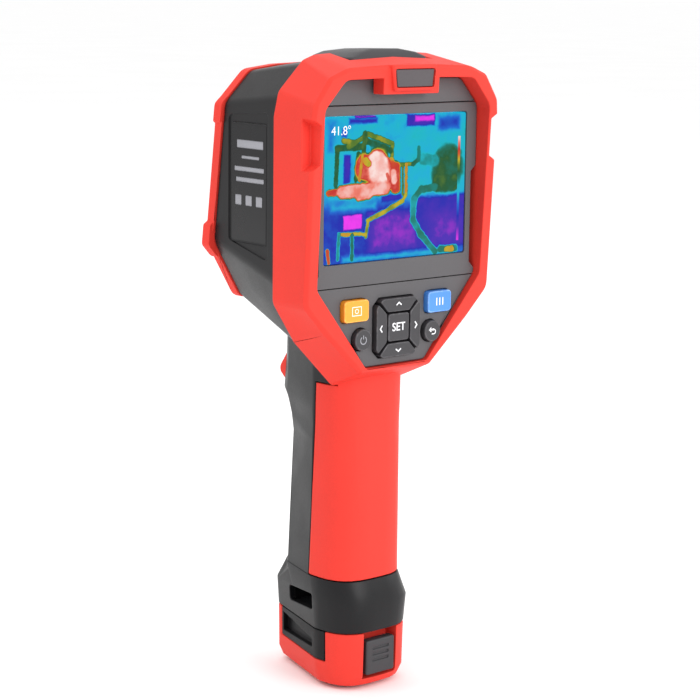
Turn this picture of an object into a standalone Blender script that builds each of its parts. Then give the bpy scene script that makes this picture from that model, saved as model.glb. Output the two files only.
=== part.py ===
"""Pistol-grip thermal imaging camera, with its battery clicked into the foot of the grip.

Run with: blender --background --python part.py

The part stands on the flat underside of its battery. +X is to the right of the person reading the
screen, +Y points forward through the lens and +Z is up. The origin is on the battery's underside,
below the grip.

Outlines and places are in millimetres from the middle of the screen glass: x to the right, y forward
from the glass, z up. Each mesh is turned into metres and moved to the part's origin where it is made.
"""

import math

import bmesh
import bpy
from mathutils import Matrix, Vector

MM = 0.001

# Clearances
GAP = 0.3  # between pieces that rest on each other
KEY_GAP = 0.35  # around a key in its opening
LEAST_RADIUS = 0.15  # of a rounded corner on an outline that is moved inwards

# Heights of the stack that stands under the screen
BATTERY_HEIGHT = 23.0
SKIRT_HEIGHT = 20.5
GRIP_LENGTH = 77.5
NECK_DROP = 76.0  # from the middle of the screen down to the top of the red grip

# Head
HEAD_HALF_WIDTH = 46.0  # black shell at its rear seam
HEAD_TOP = 48.9
HEAD_TAPER = 2.0  # each side of the shell, from rear seam to front seam
REAR_SEAM = 15.0
HEAD_LENGTH = 36.5  # rear seam to front seam, at mid height
SHELL_WALL = 2.4
ROOF_WALL = 4.5
FRAME_PROUD = 1.7  # rubber frame over the shell, each side
LIP_PROUD = 1.0  # lip of the frame over the shell, each side
LIP_WIDTH = 4.4  # from the shell's side in to the frame's opening
LIP_FILLET = 1.3
LIP_DEPTH = 5.5  # rearmost face of the frame behind the glass, at mid height
LIP_LEAN = 0.054
FRONT_LEAN = 0.135
BUMPER_THICK = 5.6
BUMPER_PROUD = 0.6
BUMPER_RIM = 4.0
FRONT_PLATE_THICK = 2.6

# Screen and its surround
SCREEN_WIDTH = 70.08
SCREEN_HEIGHT = 52.56
SCREEN_BORDER = 0.7
BEZEL_FRONT = -0.4
BEZEL_THICK = 3.2
GLASS_THICK = 2.4
LCD_SIDE_BORDER = 3.3
LCD_TOP_BORDER = 3.0
LCD_FOOT_BORDER = 6.5
LCD_THICK = 3.2
TOP_SEAM = 31.0
KEYPAD_SEAM = -36.0
RELIEF_DEPTH = 3.1  # how far the screen surround steps in beside the screen

# Keys
KEY_PROUD = 2.2
KEY_FLANGE = 0.5
KEY_FLANGE_THICK = 0.8
KEY_TRAVEL = 0.9
SOFT_KEY_WIDTH = 12.2
SOFT_KEY_HEIGHT = 8.2
SOFT_KEY_X = 21.3
SOFT_KEY_Z = -45.0
ROUND_KEY_RADIUS = 4.1
ROUND_KEY_X = 17.8
ROUND_KEY_Z = -56.2
NAV_Z = -52.9
NAV_HALF = 11.2
SET_HALF = 5.3

# Grip
GRIP_HALF_WIDTH = 17.3
GRIP_BACK = 7.8
GRIP_SEAM = 24.7  # at the top of the red half
GRIP_SEAM_SLANT = 4.0  # forward over the length of the grip
GRIP_SHOULDER = 27.0  # front end of the straight side
GRIP_NOSE = 51.8
GRIP_WALL = 2.4
GRIP_STEPS = 6  # to each rounded corner of the grip, the skirt and the battery

# Skirt and battery
SKIRT_HALF_WIDTH = 19.2
SKIRT_BACK = 4.5
SKIRT_SHOULDER = 22.5  # front end of the rounded rear
SKIRT_NOSE = 60.5
BATTERY_FILLET = 5.5
BATTERY_FLOOR = 3.0
CELL_RADIUS = 10.5
CELL_LENGTH = 70.0
CELL_CLEARANCE = 0.35
TOWER_WALL = 1.6
TOWER_Y = 26.0
LATCH_WIDTH = 14.6
LATCH_HEIGHT = 14.0
PAD_DEPTH = 3.6
PAD_BACK = 17.0
PAD_NOSE = 54.0
PAD_LOW = 11.0  # above the base
STRAP_SLOT_HEIGHT = 6.2

# Optics
LENS_Z = 6.0
LENS_RADIUS = 18.8
LENS_FRONT = 85.0
IR_LENS_RADIUS = 13.5
SMALL_OPTICS_Z = -24.0
CAMERA_RADIUS = 4.3
LAMP_RADIUS = 3.8
LASER_RADIUS = 2.4
SMALL_OPTICS_PITCH = 14.0
SHUTTER_SWING = 60.0  # degrees from parked, clear of the detector, to closed over it

# Port cover
COVER_HALF_WIDTH = 20.5
COVER_FRONT_HALF_WIDTH = 17.0
COVER_BACK = 4.2
COVER_FRONT = 32.0
COVER_TOP = 51.2
COVER_FLOOR = 45.8
BAY_HALF_WIDTH = 13.5
BAY_BACK = 17.5
BAY_FRONT = 29.0

# Trigger
TRIGGER_TOP = -68.5
TRIGGER_BOTTOM = -83.5
TRIGGER_TIP = 62.6
TRIGGER_BACK = 40.5  # of the pocket that the trigger sits in
TRIGGER_HALF_WIDTH = 5.6
TRIGGER_SHOULDER = 49.0  # front of the two ears that keep the trigger in
TRIGGER_EAR = 1.5
TRIGGER_ROOM = 0.6
SPRING_START = 47.2
SPRING_END = 52.6

# Places that follow from the sizes above
GRIP_TOP = -NECK_DROP
GRIP_BOTTOM = GRIP_TOP - GRIP_LENGTH
SKIRT_BOTTOM = GRIP_BOTTOM - SKIRT_HEIGHT
BASE = SKIRT_BOTTOM - BATTERY_HEIGHT
GRIP_MIDDLE_Y = 33.0
ORIGIN = Vector((0, GRIP_MIDDLE_Y, BASE))
FRONT_SEAM = REAR_SEAM + HEAD_LENGTH
BEZEL_BACK = BEZEL_FRONT + BEZEL_THICK
FLANGE_FRONT = BEZEL_BACK + GAP
SET_FLANGE_FRONT = FLANGE_FRONT + KEY_FLANGE_THICK + KEY_TRAVEL + GAP
MEMBRANE_FRONT = SET_FLANGE_FRONT + KEY_FLANGE_THICK + KEY_TRAVEL + GAP

PARTS = "thermal_imaging_camera"
CUTTERS = "thermal_imaging_camera_cutters"

RED = ((0.83, 0.055, 0.035), 0.5, 0.0)
BLACK = ((0.035, 0.038, 0.045), 0.42, 0.0)
BEZEL_GREY = ((0.17, 0.165, 0.165), 0.45, 0.0)
KEY_GREY = ((0.075, 0.072, 0.08), 0.5, 0.0)
YELLOW = ((0.95, 0.48, 0.05), 0.45, 0.0)
BLUE = ((0.24, 0.46, 0.78), 0.45, 0.0)
GLASS = ((0.02, 0.05, 0.08), 0.05, 0.0)
BOARD_GREEN = ((0.02, 0.16, 0.07), 0.5, 0.0)
STEEL = ((0.62, 0.62, 0.63), 0.3, 1.0)
BRASS = ((0.72, 0.5, 0.2), 0.3, 1.0)
ALUMINIUM = ((0.72, 0.73, 0.74), 0.4, 1.0)
GERMANIUM = ((0.16, 0.17, 0.2), 0.08, 1.0)
CELL_WRAP = ((0.03, 0.2, 0.42), 0.35, 0.0)
RUBBER = ((0.02, 0.02, 0.022), 0.75, 0.0)


def clear_scene():
    for obj in list(bpy.data.objects):
        bpy.data.objects.remove(obj, do_unlink=True)


def collection(name):
    found = bpy.data.collections.get(name)
    if found is None:
        found = bpy.data.collections.new(name)
        bpy.context.scene.collection.children.link(found)
    return found


def material(name, look):
    color, roughness, metallic = look
    made = bpy.data.materials.new(name)
    made.use_nodes = True
    shader = made.node_tree.nodes["Principled BSDF"]
    shader.inputs["Base Color"].default_value = (*color, 1)
    shader.inputs["Roughness"].default_value = roughness
    shader.inputs["Metallic"].default_value = metallic
    made.diffuse_color = (*color, 1)
    return made


# Outlines. A half outline is a list of corners (u, v, radius) on the +u side, from one end on the
# mirror line to the other. Its full outline is closed and symmetric about u = 0.


def mirrored(half):
    left = [(-u, v, r) for u, v, r in reversed(half) if u > 1e-6]
    return [*half, *left]


def inset(corners, distance):
    """A closed outline with every side moved inwards, and outwards for a negative distance."""
    moved = []
    turn = math.copysign(1, area(corners))
    for i, (u, v, r) in enumerate(corners):
        here = Vector((u, v))
        before = here - Vector(corners[i - 1][:2])
        after = Vector(corners[(i + 1) % len(corners)][:2]) - here
        before.normalize()
        after.normalize()
        n_before = Vector((-before.y, before.x)) * turn
        n_after = Vector((-after.y, after.x)) * turn
        share = distance / (1 + n_before.dot(n_after))
        spot = here + (n_before + n_after) * share
        moved.append((spot.x, spot.y, max(r - distance, LEAST_RADIUS) if r else 0))
    return moved


def area(corners):
    return sum(
        a[0] * b[1] - b[0] * a[1] for a, b in zip(corners, [*corners[1:], corners[0]])
    ) / 2


def rounded(corners, steps=3):
    """The points of a closed outline, with each corner that has a radius turned into an arc."""
    points = []
    for i, (u, v, r) in enumerate(corners):
        here = Vector((u, v))
        to_before = (Vector(corners[i - 1][:2]) - here)
        to_after = (Vector(corners[(i + 1) % len(corners)][:2]) - here)
        if r <= 0:
            points.append(here)
            continue
        reach_limit = 0.95 * min(
            to_before.length * r / (r + corners[i - 1][2]),
            to_after.length * r / (r + corners[(i + 1) % len(corners)][2]),
        )
        to_before.normalize()
        to_after.normalize()
        half_angle = to_before.angle(to_after) / 2
        reach = min(r / math.tan(half_angle), reach_limit)
        for k in range(steps + 1):
            t = k / steps
            start = here + to_before * reach
            end = here + to_after * reach
            points.append(start * (1 - t) ** 2 + here * 2 * t * (1 - t) + end * t**2)
    return points


def upright(points, depth):
    """Outline points (x, z) stood up at a depth y, which may be a function of z."""
    return [Vector((p.x, depth(p.y) if callable(depth) else depth, p.y)) for p in points]


def level(points, height):
    """Outline points (x, y) laid flat at a height z, which may be a function of y."""
    return [Vector((p.x, p.y, height(p.y) if callable(height) else height)) for p in points]


def new_object(name, bm, look=None, origin=None, flat=True):
    """An object whose mesh is the bmesh in millimetres. Its own origin is at the given point."""
    spot = Vector(origin) if origin is not None else ORIGIN
    bmesh.ops.translate(bm, vec=-spot, verts=bm.verts)
    bmesh.ops.scale(bm, vec=(MM, MM, MM), verts=bm.verts)
    mesh = bpy.data.meshes.new(name)
    bm.to_mesh(mesh)
    bm.free()
    obj = bpy.data.objects.new(name, mesh)
    obj.location = (spot - ORIGIN) * MM
    if look is None:
        collection(CUTTERS).objects.link(obj)
        obj.hide_render = True
        obj.display_type = "WIRE"
        return obj
    collection(PARTS).objects.link(obj)
    mesh.materials.append(material(name, look))
    if not flat:
        mesh.shade_smooth()
        mesh.set_sharp_from_angle(angle=math.radians(35))
    return obj


def loft(name, rings, look=None, origin=None, flat=False):
    """A closed solid through rings of equal point count, each a list of points."""
    bm = bmesh.new()
    rows = [[bm.verts.new(point) for point in ring] for ring in rings]
    count = len(rows[0])
    for near, far in zip(rows, rows[1:]):
        for i in range(count):
            j = (i + 1) % count
            bm.faces.new((near[i], near[j], far[j], far[i]))
    bm.faces.new(rows[0])
    bm.faces.new(list(reversed(rows[-1])))
    bmesh.ops.recalc_face_normals(bm, faces=bm.faces)
    return new_object(name, bm, look, origin, flat)


def prism(name, corners, near, far, look=None, origin=None, steps=3, edge=0.0):
    """An upright outline (x, z) extruded along y, with its near rim eased by edge."""
    full = rounded(corners, steps)
    rings = [upright(full, near + edge), upright(full, far)]
    if edge:
        rings.insert(0, upright(rounded(inset(corners, edge), steps), near))
    return loft(name, rings, look, origin)


def box(name, x, y, z, look=None, origin=None, edge=0.0):
    bm = bmesh.new()
    size = Vector((x[1] - x[0], y[1] - y[0], z[1] - z[0]))
    middle = Vector((x[0] + x[1], y[0] + y[1], z[0] + z[1])) / 2
    place = Matrix.Translation(middle) @ Matrix.Diagonal((*size, 1))
    bmesh.ops.create_cube(bm, size=1, matrix=place)
    if edge:
        bmesh.ops.bevel(
            bm, geom=bm.edges[:], offset=edge, segments=1, profile=0.5, affect="EDGES", material=-1
        )
    return new_object(name, bm, look, origin)


def rod(name, start, end, radius, look=None, origin=None, segments=24, end_radius=None):
    """A cylinder or cone between two points."""
    bm = bmesh.new()
    start, end = Vector(start), Vector(end)
    along = end - start
    turn = along.to_track_quat("Z", "Y").to_matrix().to_4x4()
    bmesh.ops.create_cone(
        bm,
        cap_ends=True,
        segments=segments,
        radius1=radius,
        radius2=radius if end_radius is None else end_radius,
        depth=along.length,
        matrix=Matrix.Translation((start + end) / 2) @ turn,
    )
    return new_object(name, bm, look, origin, flat=False)


def turned(name, profile, middle, look, steps=36, closed=True):
    """A solid turned about the line along +Y through middle. The profile is (radius, y from middle),
    from the front end down the outer side, and back up the bore when it is closed."""
    bm = bmesh.new()
    verts = [bm.verts.new((r * MM, 0, y * MM)) for r, y in profile]
    for a, b in zip(verts, verts[1:]):
        bm.edges.new((a, b))
    if closed:
        bm.edges.new((verts[-1], verts[0]))
    mesh = bpy.data.meshes.new(name)
    bm.to_mesh(mesh)
    bm.free()
    obj = bpy.data.objects.new(name, mesh)
    obj.location = (Vector(middle) - ORIGIN) * MM
    obj.rotation_euler = (-math.pi / 2, 0, 0)
    collection(PARTS).objects.link(obj)
    mesh.materials.append(material(name, look))
    screw = obj.modifiers.new("turn", "SCREW")
    screw.steps = steps
    screw.render_steps = steps
    screw.use_merge_vertices = True
    screw.merge_threshold = 1e-5
    screw.use_smooth_shade = True
    return obj


def change(obj, other, operation):
    modifier = obj.modifiers.new(other.name, "BOOLEAN")
    modifier.operation = operation
    modifier.object = other
    modifier.solver = "EXACT"


def cut(obj, *others):
    for other in others:
        change(obj, other, "DIFFERENCE")


def join(obj, *others):
    for other in others:
        change(obj, other, "UNION")


def keep_within(obj, other):
    change(obj, other, "INTERSECT")


# The head's own shapes


def lip_plane(z):
    return -LIP_DEPTH - LIP_LEAN * z


def front_plane(offset):
    return lambda z: FRONT_SEAM + 0.7 + offset - FRONT_LEAN * z


def shell_rear_corners():
    w = HEAD_HALF_WIDTH
    return mirrored(
        [
            (0, HEAD_TOP, 0),
            (w - 25, HEAD_TOP - 1.0, 20),
            (w - 12.5, HEAD_TOP - 3.0, 5),
            (w, 33.5, 5),
            (w, -34.5, 9),
            (w - 15, -62.5, 5),
            (0, -62.5, 0),
        ]
    )


def shell_fore_corners():
    """The shell's outline at one head length in front of its rear seam."""
    w = HEAD_HALF_WIDTH - HEAD_TAPER
    return mirrored(
        [
            (0, HEAD_TOP - 5.2, 0),
            (w - 24, HEAD_TOP - 5.8, 20),
            (w - 10.5, HEAD_TOP - 7.4, 5),
            (w, 30, 5),
            (w, -24, 9),
            (w - 15.5, -48.5, 5),
            (0, -48.5, 0),
        ]
    )


def carried_to(rear, fore, offset):
    """Corners carried on from the rear seam, through the fore outline, to the leaning front plane."""
    found = []
    for back, ahead in zip(rear, fore):
        rise = ahead[1] - back[1]
        reach = front_plane(offset)(back[1]) - REAR_SEAM
        t = reach / (HEAD_LENGTH + FRONT_LEAN * rise)
        found.append(
            (back[0] + t * (ahead[0] - back[0]), back[1] + t * rise, ahead[2])
        )
    return found


def front_seam_corners():
    return carried_to(shell_rear_corners(), shell_fore_corners(), 0)


def frame_lip_corners():
    w = HEAD_HALF_WIDTH + LIP_PROUD
    return mirrored(
        [
            (0, 46.2, 0),
            (w - 16, 44.9, 12),
            (w - 7.5, 41.6, 4),
            (w - 0.7, 32, 5),
            (w, 26, 6),
            (w, -41.6, 6),
            (w - 10, -52, 6),
            (18, -69.5, 3),
            (0, -69.5, 0),
        ]
    )


def frame_seam_corners():
    w = HEAD_HALF_WIDTH + FRAME_PROUD
    return mirrored(
        [
            (0, HEAD_TOP + FRAME_PROUD, 0),
            (w - 19, HEAD_TOP + FRAME_PROUD - 1.5, 12),
            (w - 13.5, HEAD_TOP + FRAME_PROUD - 3.4, 4),
            (w - 2.1, 36, 5),
            (w, 27, 6),
            (w, -41.6, 6),
            (w - 10.4, -57.5, 6),
            (18.4, GRIP_TOP - 0.2, 3),
            (0, GRIP_TOP - 0.2, 0),
        ]
    )


def opening_corners():
    w = HEAD_HALF_WIDTH - LIP_WIDTH
    return mirrored(
        [
            (0, 41.2, 0),
            (w - 9.5, 40.6, 5),
            (w, 30, 5),
            (w, -35.6, 4),
            (15.6, -67.5, 3),
            (0, -67.5, 0),
        ]
    )


def shell_solid(name, shrink, roof, look=None):
    """The head between its two seams, its sides moved in by shrink and its roof lowered by roof."""

    def lowered(corners):
        top = corners[0][1]
        return [(u, v - roof if v > top - 8 else v, r) for u, v, r in inset(corners, shrink)]

    past = -GAP / 2 if look else 4.0
    rear, fore = lowered(shell_rear_corners()), lowered(shell_fore_corners())
    return loft(
        name,
        [
            upright(rounded(rear), REAR_SEAM + (GAP if look else -1.0)),
            upright(rounded(carried_to(rear, fore, past)), front_plane(past)),
        ],
        look,
    )


# The grip's and the battery's own shapes


def grip_corners(stretch=0.0, nose=0.0, shoulder=0.0):
    """Plan of the grip: stretch widens it, nose and shoulder push its front forward."""
    w = GRIP_HALF_WIDTH + stretch
    facet = GRIP_HALF_WIDTH - 6.6 + stretch
    tip = facet - 5.0
    return mirrored(
        [
            (0, GRIP_BACK, 0),
            (w, GRIP_BACK, 14),
            (w, GRIP_SHOULDER, 3),
            (facet, GRIP_NOSE - 5.4 + shoulder, 3),
            (tip, GRIP_NOSE + nose, 2),
            (0, GRIP_NOSE + nose, 0),
        ]
    )


def skirt_corners():
    w = SKIRT_HALF_WIDTH
    return mirrored(
        [
            (0, SKIRT_BACK, 0),
            (w - 0.4, SKIRT_BACK, 16),
            (w, SKIRT_SHOULDER, 2),
            (w - 6, SKIRT_NOSE - 18.5, 8),
            (w - 11, SKIRT_NOSE - 1.6, 5),
            (0, SKIRT_NOSE, 0),
        ]
    )


def grip_stations():
    """Plans of the grip from its top to its foot, as (height, corners)."""
    below = GRIP_TOP
    return [
        (below + 30, grip_corners(0.6, 3.4, 3.0)),
        (below + 5, grip_corners(0.5, 4.6, 3.0)),
        (below - 8, grip_corners(0.3, 6.2, 3.4)),
        (below - 11.5, grip_corners(0.2, 4.0, 2.6)),
        (below - 17, grip_corners(0.0, 0.5, 1.2)),
        (below - 0.3 * GRIP_LENGTH, grip_corners(0.0, 0.0, 0.0)),
        (below - 0.64 * GRIP_LENGTH, grip_corners(0.0, 1.2, 1.3)),
        (GRIP_BOTTOM + 3, grip_corners(0.3, 2.4, 2.4)),
    ]


def grip_foot_corners():
    return grip_corners(0.5, 2.9, 2.9)


def grip_solid(name, shrink=0.0, foot=3.0):
    """The whole grip, its sides moved in by shrink, down to a foot below its red half."""
    stations = [*grip_stations(), (GRIP_BOTTOM - foot, grip_foot_corners())]
    rings = [
        level(rounded(inset(corners, shrink), GRIP_STEPS), height) for height, corners in stations
    ]
    return loft(name, rings)


def seam_depth(z):
    """Depth of the seam down the grip's side at a height z."""
    return GRIP_SEAM + GRIP_SEAM_SLANT * (GRIP_TOP - z) / GRIP_LENGTH


def beyond_seam(name, offset, far, low, high):
    """The space from the grip's side seam, moved forward by offset, to the depth far."""
    seam = [(seam_depth(low) + offset, low), (seam_depth(high) + offset, high)]
    corners = [*seam, (far, high), (far, low)]
    return loft(name, [[Vector((x, y, z)) for y, z in corners] for x in (-60, 60)])


def underside(y):
    """Height of the head's underside at a depth y."""
    return -62.5 + (y - REAR_SEAM - GAP) * 14 / HEAD_LENGTH


def battery_solid(name, shrink=0.0, look=None, top=0.0):
    rings = [
        level(rounded(inset(skirt_corners(), shrink), GRIP_STEPS), SKIRT_BOTTOM - top),
        level(
            rounded(inset(skirt_corners(), shrink + 0.3), GRIP_STEPS), BASE + BATTERY_FILLET
        ),
    ]
    for k in (1, 2):
        angle = k * math.pi / 4
        drop = BATTERY_FILLET * math.sin(angle)
        in_by = BATTERY_FILLET * (1 - math.cos(angle))
        corners = inset(skirt_corners(), shrink + 0.3 + in_by)
        rings.append(level(rounded(corners, GRIP_STEPS), BASE + BATTERY_FILLET - drop))
    return loft(name, rings, look)


# Sub-parts


def make_rear_bumper():
    lip = frame_lip_corners()
    frame = loft(
        "rear_bumper",
        [
            upright(rounded(inset(lip, LIP_FILLET)), lip_plane),
            upright(rounded(lip), lambda z: lip_plane(z) + LIP_FILLET),
            upright(rounded(frame_seam_corners()), REAR_SEAM),
        ],
        RED,
    )
    grip = grip_solid("rear_grip")
    cut(
        grip,
        beyond_seam("grip_front_off", 0, 90, BASE, 0),
        box("grip_foot_off", (-40, 40), (-20, 90), (BASE, GRIP_BOTTOM)),
        box("neck_off", (-40, 40), (REAR_SEAM - 1, 90), (GRIP_TOP - 0.4, 0)),
        box("grip_head_off", (-40, 40), (-20, 90), (-70.5, 0)),
    )
    lug_outline = [(-11.5, 46, 1), (11.5, 46, 1), (10, 36, 1.5), (-10, 36, 1.5)]
    lug = prism("lug", lug_outline, -9.5, -1.5, edge=0.8)
    join(frame, grip, lug)
    opening = prism("frame_opening", opening_corners(), -4.2, REAR_SEAM + 5)
    mouth = prism("frame_mouth", opening_corners(), -20, -1.5)
    lug_keep = box("lug_keep", (-14, 14), (-20, -1), (35, 60))
    cut(mouth, lug_keep)
    cut(opening, box("lug_keep_deep", (-14, 14), (-20, -1.5), (35, 60)))
    cut(frame, opening, mouth, lug_recess(), grip_cavity("rear_grip_cavity"), cover_room("rear"))
    for side in (-1, 1):
        cut(frame, side_notch(side))


def lug_recess():
    corners = [(-10, 44.4, 0.8), (10, 44.4, 0.8), (9.2, 37.4, 0.8), (-9.2, 37.4, 0.8)]
    return prism("lug_recess", corners, -12, -8.0)


def side_notch(side):
    """The stepped grip notch in the lip, with slanted ends."""
    w = HEAD_HALF_WIDTH
    corners = [(w - 3, 24.6, 0), (w - 3, 10.4, 0), (w + 5, 5.6, 0), (w + 5, 29.4, 0)]
    corners = [(side * x, z, r) for x, z, r in corners]
    return prism(f"side_notch_{'left' if side < 0 else 'right'}", corners, -15, -0.6)


def grip_cavity(name):
    """Room for the battery's tower, open at the foot."""
    cavity = grip_solid(name, GRIP_WALL, SKIRT_HEIGHT + 5)
    cut(
        cavity,
        box(f"{name}_top_off", (-40, 40), (-20, 120), (GRIP_TOP + 2.5, 60)),
        box(f"{name}_front_off", (-40, 40), (TRIGGER_BACK + 2, 120), (TRIGGER_BOTTOM - 6, 40)),
    )
    return cavity


def cover_room(name):
    """The recess that the port cover lies in."""
    room = COVER_HALF_WIDTH + KEY_GAP
    return box(
        f"cover_room_{name}",
        (-room, room),
        (COVER_BACK - KEY_GAP, COVER_FRONT + KEY_GAP),
        (COVER_FLOOR - GAP, COVER_TOP + 10),
    )


def make_lug_window():
    corners = [(-9.7, 44.1, 0.6), (9.7, 44.1, 0.6), (8.9, 37.7, 0.6), (-8.9, 37.7, 0.6)]
    prism("lug_window", corners, -9.3, -8.0 - GAP, GLASS, edge=0.3)


def make_head_shell():
    shell = shell_solid("head_shell", 0.0, 0.0, BLACK)
    tongue = inset(opening_corners(), GAP)
    rim = BEZEL_BACK + GAP
    join(shell, prism("tongue", tongue, rim, REAR_SEAM + 1.0))
    cut(shell, shell_solid("shell_cavity", SHELL_WALL, ROOF_WALL - SHELL_WALL))
    cut(shell, prism("tongue_cavity", inset(tongue, SHELL_WALL), -5, REAR_SEAM + 5))
    key_room = (rim - 5, FLANGE_FRONT + KEY_FLANGE_THICK + KEY_TRAVEL + GAP)
    cut(shell, box("key_room", (-60, 60), key_room, (-80, KEYPAD_SEAM - 1)))
    foot = box("tongue_foot_off", (-60, 60), (REAR_SEAM, REAR_SEAM + 1.2), (-80, -62.0))
    cut(shell, foot, cover_room("shell"))
    bay = box(
        "bay_opening", (-BAY_HALF_WIDTH, BAY_HALF_WIDTH), (BAY_BACK, BAY_FRONT), (34, 60)
    )
    neck = box("neck_opening", (-12, 12), (21, 46), (-80, -40))
    cut(shell, bay, neck)
    for side in (-1, 1):
        cut(shell, side_panel(side))


def side_panel(side):
    """The shallow recess in the shell's side where a rating label sits."""
    w = HEAD_HALF_WIDTH
    depth = 0.5
    near = [(20.5, 28, 2), (45.5, 26, 2), (45.5, -21, 2), (20.5, -27, 2)]
    inner = w - HEAD_TAPER / 2 - depth
    slope = HEAD_TAPER / HEAD_LENGTH
    rings = []
    for reach in (-depth, depth + 4):
        points = rounded(near)
        rings.append(
            [
                Vector((side * (inner + reach - slope * (p.x - 33)), p.x, p.y))
                for p in points
            ]
        )
    rings[0] = [Vector((v.x + side * depth, v.y, v.z)) for v in rings[0]]
    return loft(f"side_panel_{'left' if side < 0 else 'right'}", rings)


def make_front_bumper():
    base = front_seam_corners()
    outer = inset(base, -BUMPER_PROUD)
    rim = inset(base, 0.6)
    bumper = loft(
        "front_bumper",
        [
            upright(rounded(outer), front_plane(GAP / 2)),
            upright(rounded(outer), front_plane(BUMPER_THICK - 1.4)),
            upright(rounded(rim), front_plane(BUMPER_THICK)),
        ],
        RED,
    )
    w = HEAD_HALF_WIDTH - HEAD_TAPER + BUMPER_PROUD
    guards = {
        "upper": [(w - 12, 41, 3), (w + 0.9, 30, 3), (w + 0.9, 23, 1), (w - 6, 18, 1)],
        "lower": [(w - 5, -12, 1), (w + 1.4, -16.5, 1), (w + 1.4, -24.5, 3), (w - 5, -31, 2)],
    }
    for place, corners in guards.items():
        for side in (-1, 1):
            outline = [(side * x, z, r) for x, z, r in corners]
            guard = loft(
                f"{place}_guard_{'left' if side < 0 else 'right'}",
                [
                    upright(rounded(outline), front_plane(GAP / 2 + 0.15)),
                    upright(rounded(outline), front_plane(BUMPER_THICK - 1.0)),
                    upright(rounded(inset(outline, 1.0)), front_plane(BUMPER_THICK - 0.1)),
                ],
            )
            join(bumper, guard)
    hole = inset(base, BUMPER_RIM)
    cut(
        bumper,
        loft(
            "bumper_hole",
            [upright(rounded(hole), front_plane(-4)), upright(rounded(hole), front_plane(12))],
        ),
    )


def front_face():
    """Depth of the front plate's outer face at a height z."""
    return front_plane(BUMPER_THICK - 1.6)


def make_front_plate():
    outline = inset(front_seam_corners(), BUMPER_RIM + GAP)
    face = front_face()
    plate = loft(
        "front_plate",
        [
            upright(rounded(outline), lambda z: face(z) - FRONT_PLATE_THICK),
            upright(rounded(outline), face),
        ],
        BLACK,
    )
    cut(plate, rod("lens_hole", (0, 30, LENS_Z), (0, 100, LENS_Z), LENS_RADIUS + 0.6, segments=36))
    holes = (
        ("camera_hole", 0, CAMERA_RADIUS),
        ("lamp_hole", -SMALL_OPTICS_PITCH, LAMP_RADIUS),
        ("laser_hole", SMALL_OPTICS_PITCH, LASER_RADIUS),
    )
    for name, x, radius in holes:
        start, end = (x, 30, SMALL_OPTICS_Z), (x, 100, SMALL_OPTICS_Z)
        cut(plate, rod(name, start, end, radius + GAP))
    for i, (x, z) in enumerate(screw_spots()):
        start, end = (x, 30, z), (x, 100, z)
        cut(plate, rod(f"screw_hole_{i + 1}", start, end, 1.9, segments=16))
        cut(plate, rod(f"screw_sink_{i + 1}", (x, face(z) - 1.3, z), end, 3.4, segments=16))


def screw_spots():
    w = HEAD_HALF_WIDTH - HEAD_TAPER
    upper, lower = (w - 11, 27.5), (w - 15, -24)
    return [(side * x, z) for x, z in (upper, lower) for side in (-1, 1)]


def make_front_screws():
    face = front_face()
    for i, (x, z) in enumerate(screw_spots()):
        head = face(z) - 1.3 + GAP
        profile = [(0, 1.4), (2.0, 1.4), (2.9, 0.5), (2.9, 0), (1.5, 0), (1.5, -10), (0, -10)]
        turned(f"front_screw_{i + 1}", profile, (x, head, z), STEEL, steps=16, closed=False)


def make_lens():
    flange = FRONT_SEAM - 5.5
    middle = (0, flange, LENS_Z)
    length = LENS_FRONT - flange
    bore = IR_LENS_RADIUS + 0.4
    profile = [
        (bore + 3.0, length - 2.6),
        (LENS_RADIUS - 1.0, length - 2.6),
        (LENS_RADIUS, length - 3.6),
        (LENS_RADIUS, length - 20),
        (LENS_RADIUS - 0.9, length - 20.6),
        (LENS_RADIUS - 0.9, 2.4),
        (LENS_RADIUS + 3.2, 2.4),
        (LENS_RADIUS + 3.2, 0),
        (bore - 2.2, 0),
        (bore - 2.2, length - 14),
        (bore + 3.0, length - 10.5),
    ]
    turned("lens_barrel", profile, middle, BLACK, steps=40)
    ring = [
        (bore + 0.6, length),
        (LENS_RADIUS - 1.6, length),
        (LENS_RADIUS - 0.9, length - 0.8),
        (LENS_RADIUS - 0.9, length - 2.6 + GAP),
        (bore + 2.6, length - 2.6 + GAP),
        (bore + 2.6, length - 6),
        (bore - 1.2, length - 6),
        (bore - 1.2, length - 4.4),
    ]
    turned("lens_ring", ring, middle, ALUMINIUM, steps=40)
    glass = [(0, 2.6)]
    for k in range(1, 6):
        radius = (bore + 2.2) * k / 5
        glass.append((radius, 2.6 - 2.0 * (k / 5) ** 2))
    glass += [(bore + 2.2, -1.4), (0, -2.2)]
    seat = flange + length - 6 - GAP - 2.0
    turned("ir_lens", glass, (0, seat, LENS_Z), GERMANIUM, steps=40, closed=False)
    seal = [
        (LENS_RADIUS + 2.6, 2.4 + GAP + 0.6),
        (LENS_RADIUS + 2.6, 2.4 + GAP),
        (LENS_RADIUS - 0.5, 2.4 + GAP),
        (LENS_RADIUS - 0.5, 2.4 + GAP + 0.6),
    ]
    turned("lens_seal", seal, middle, RUBBER, steps=32)


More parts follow.
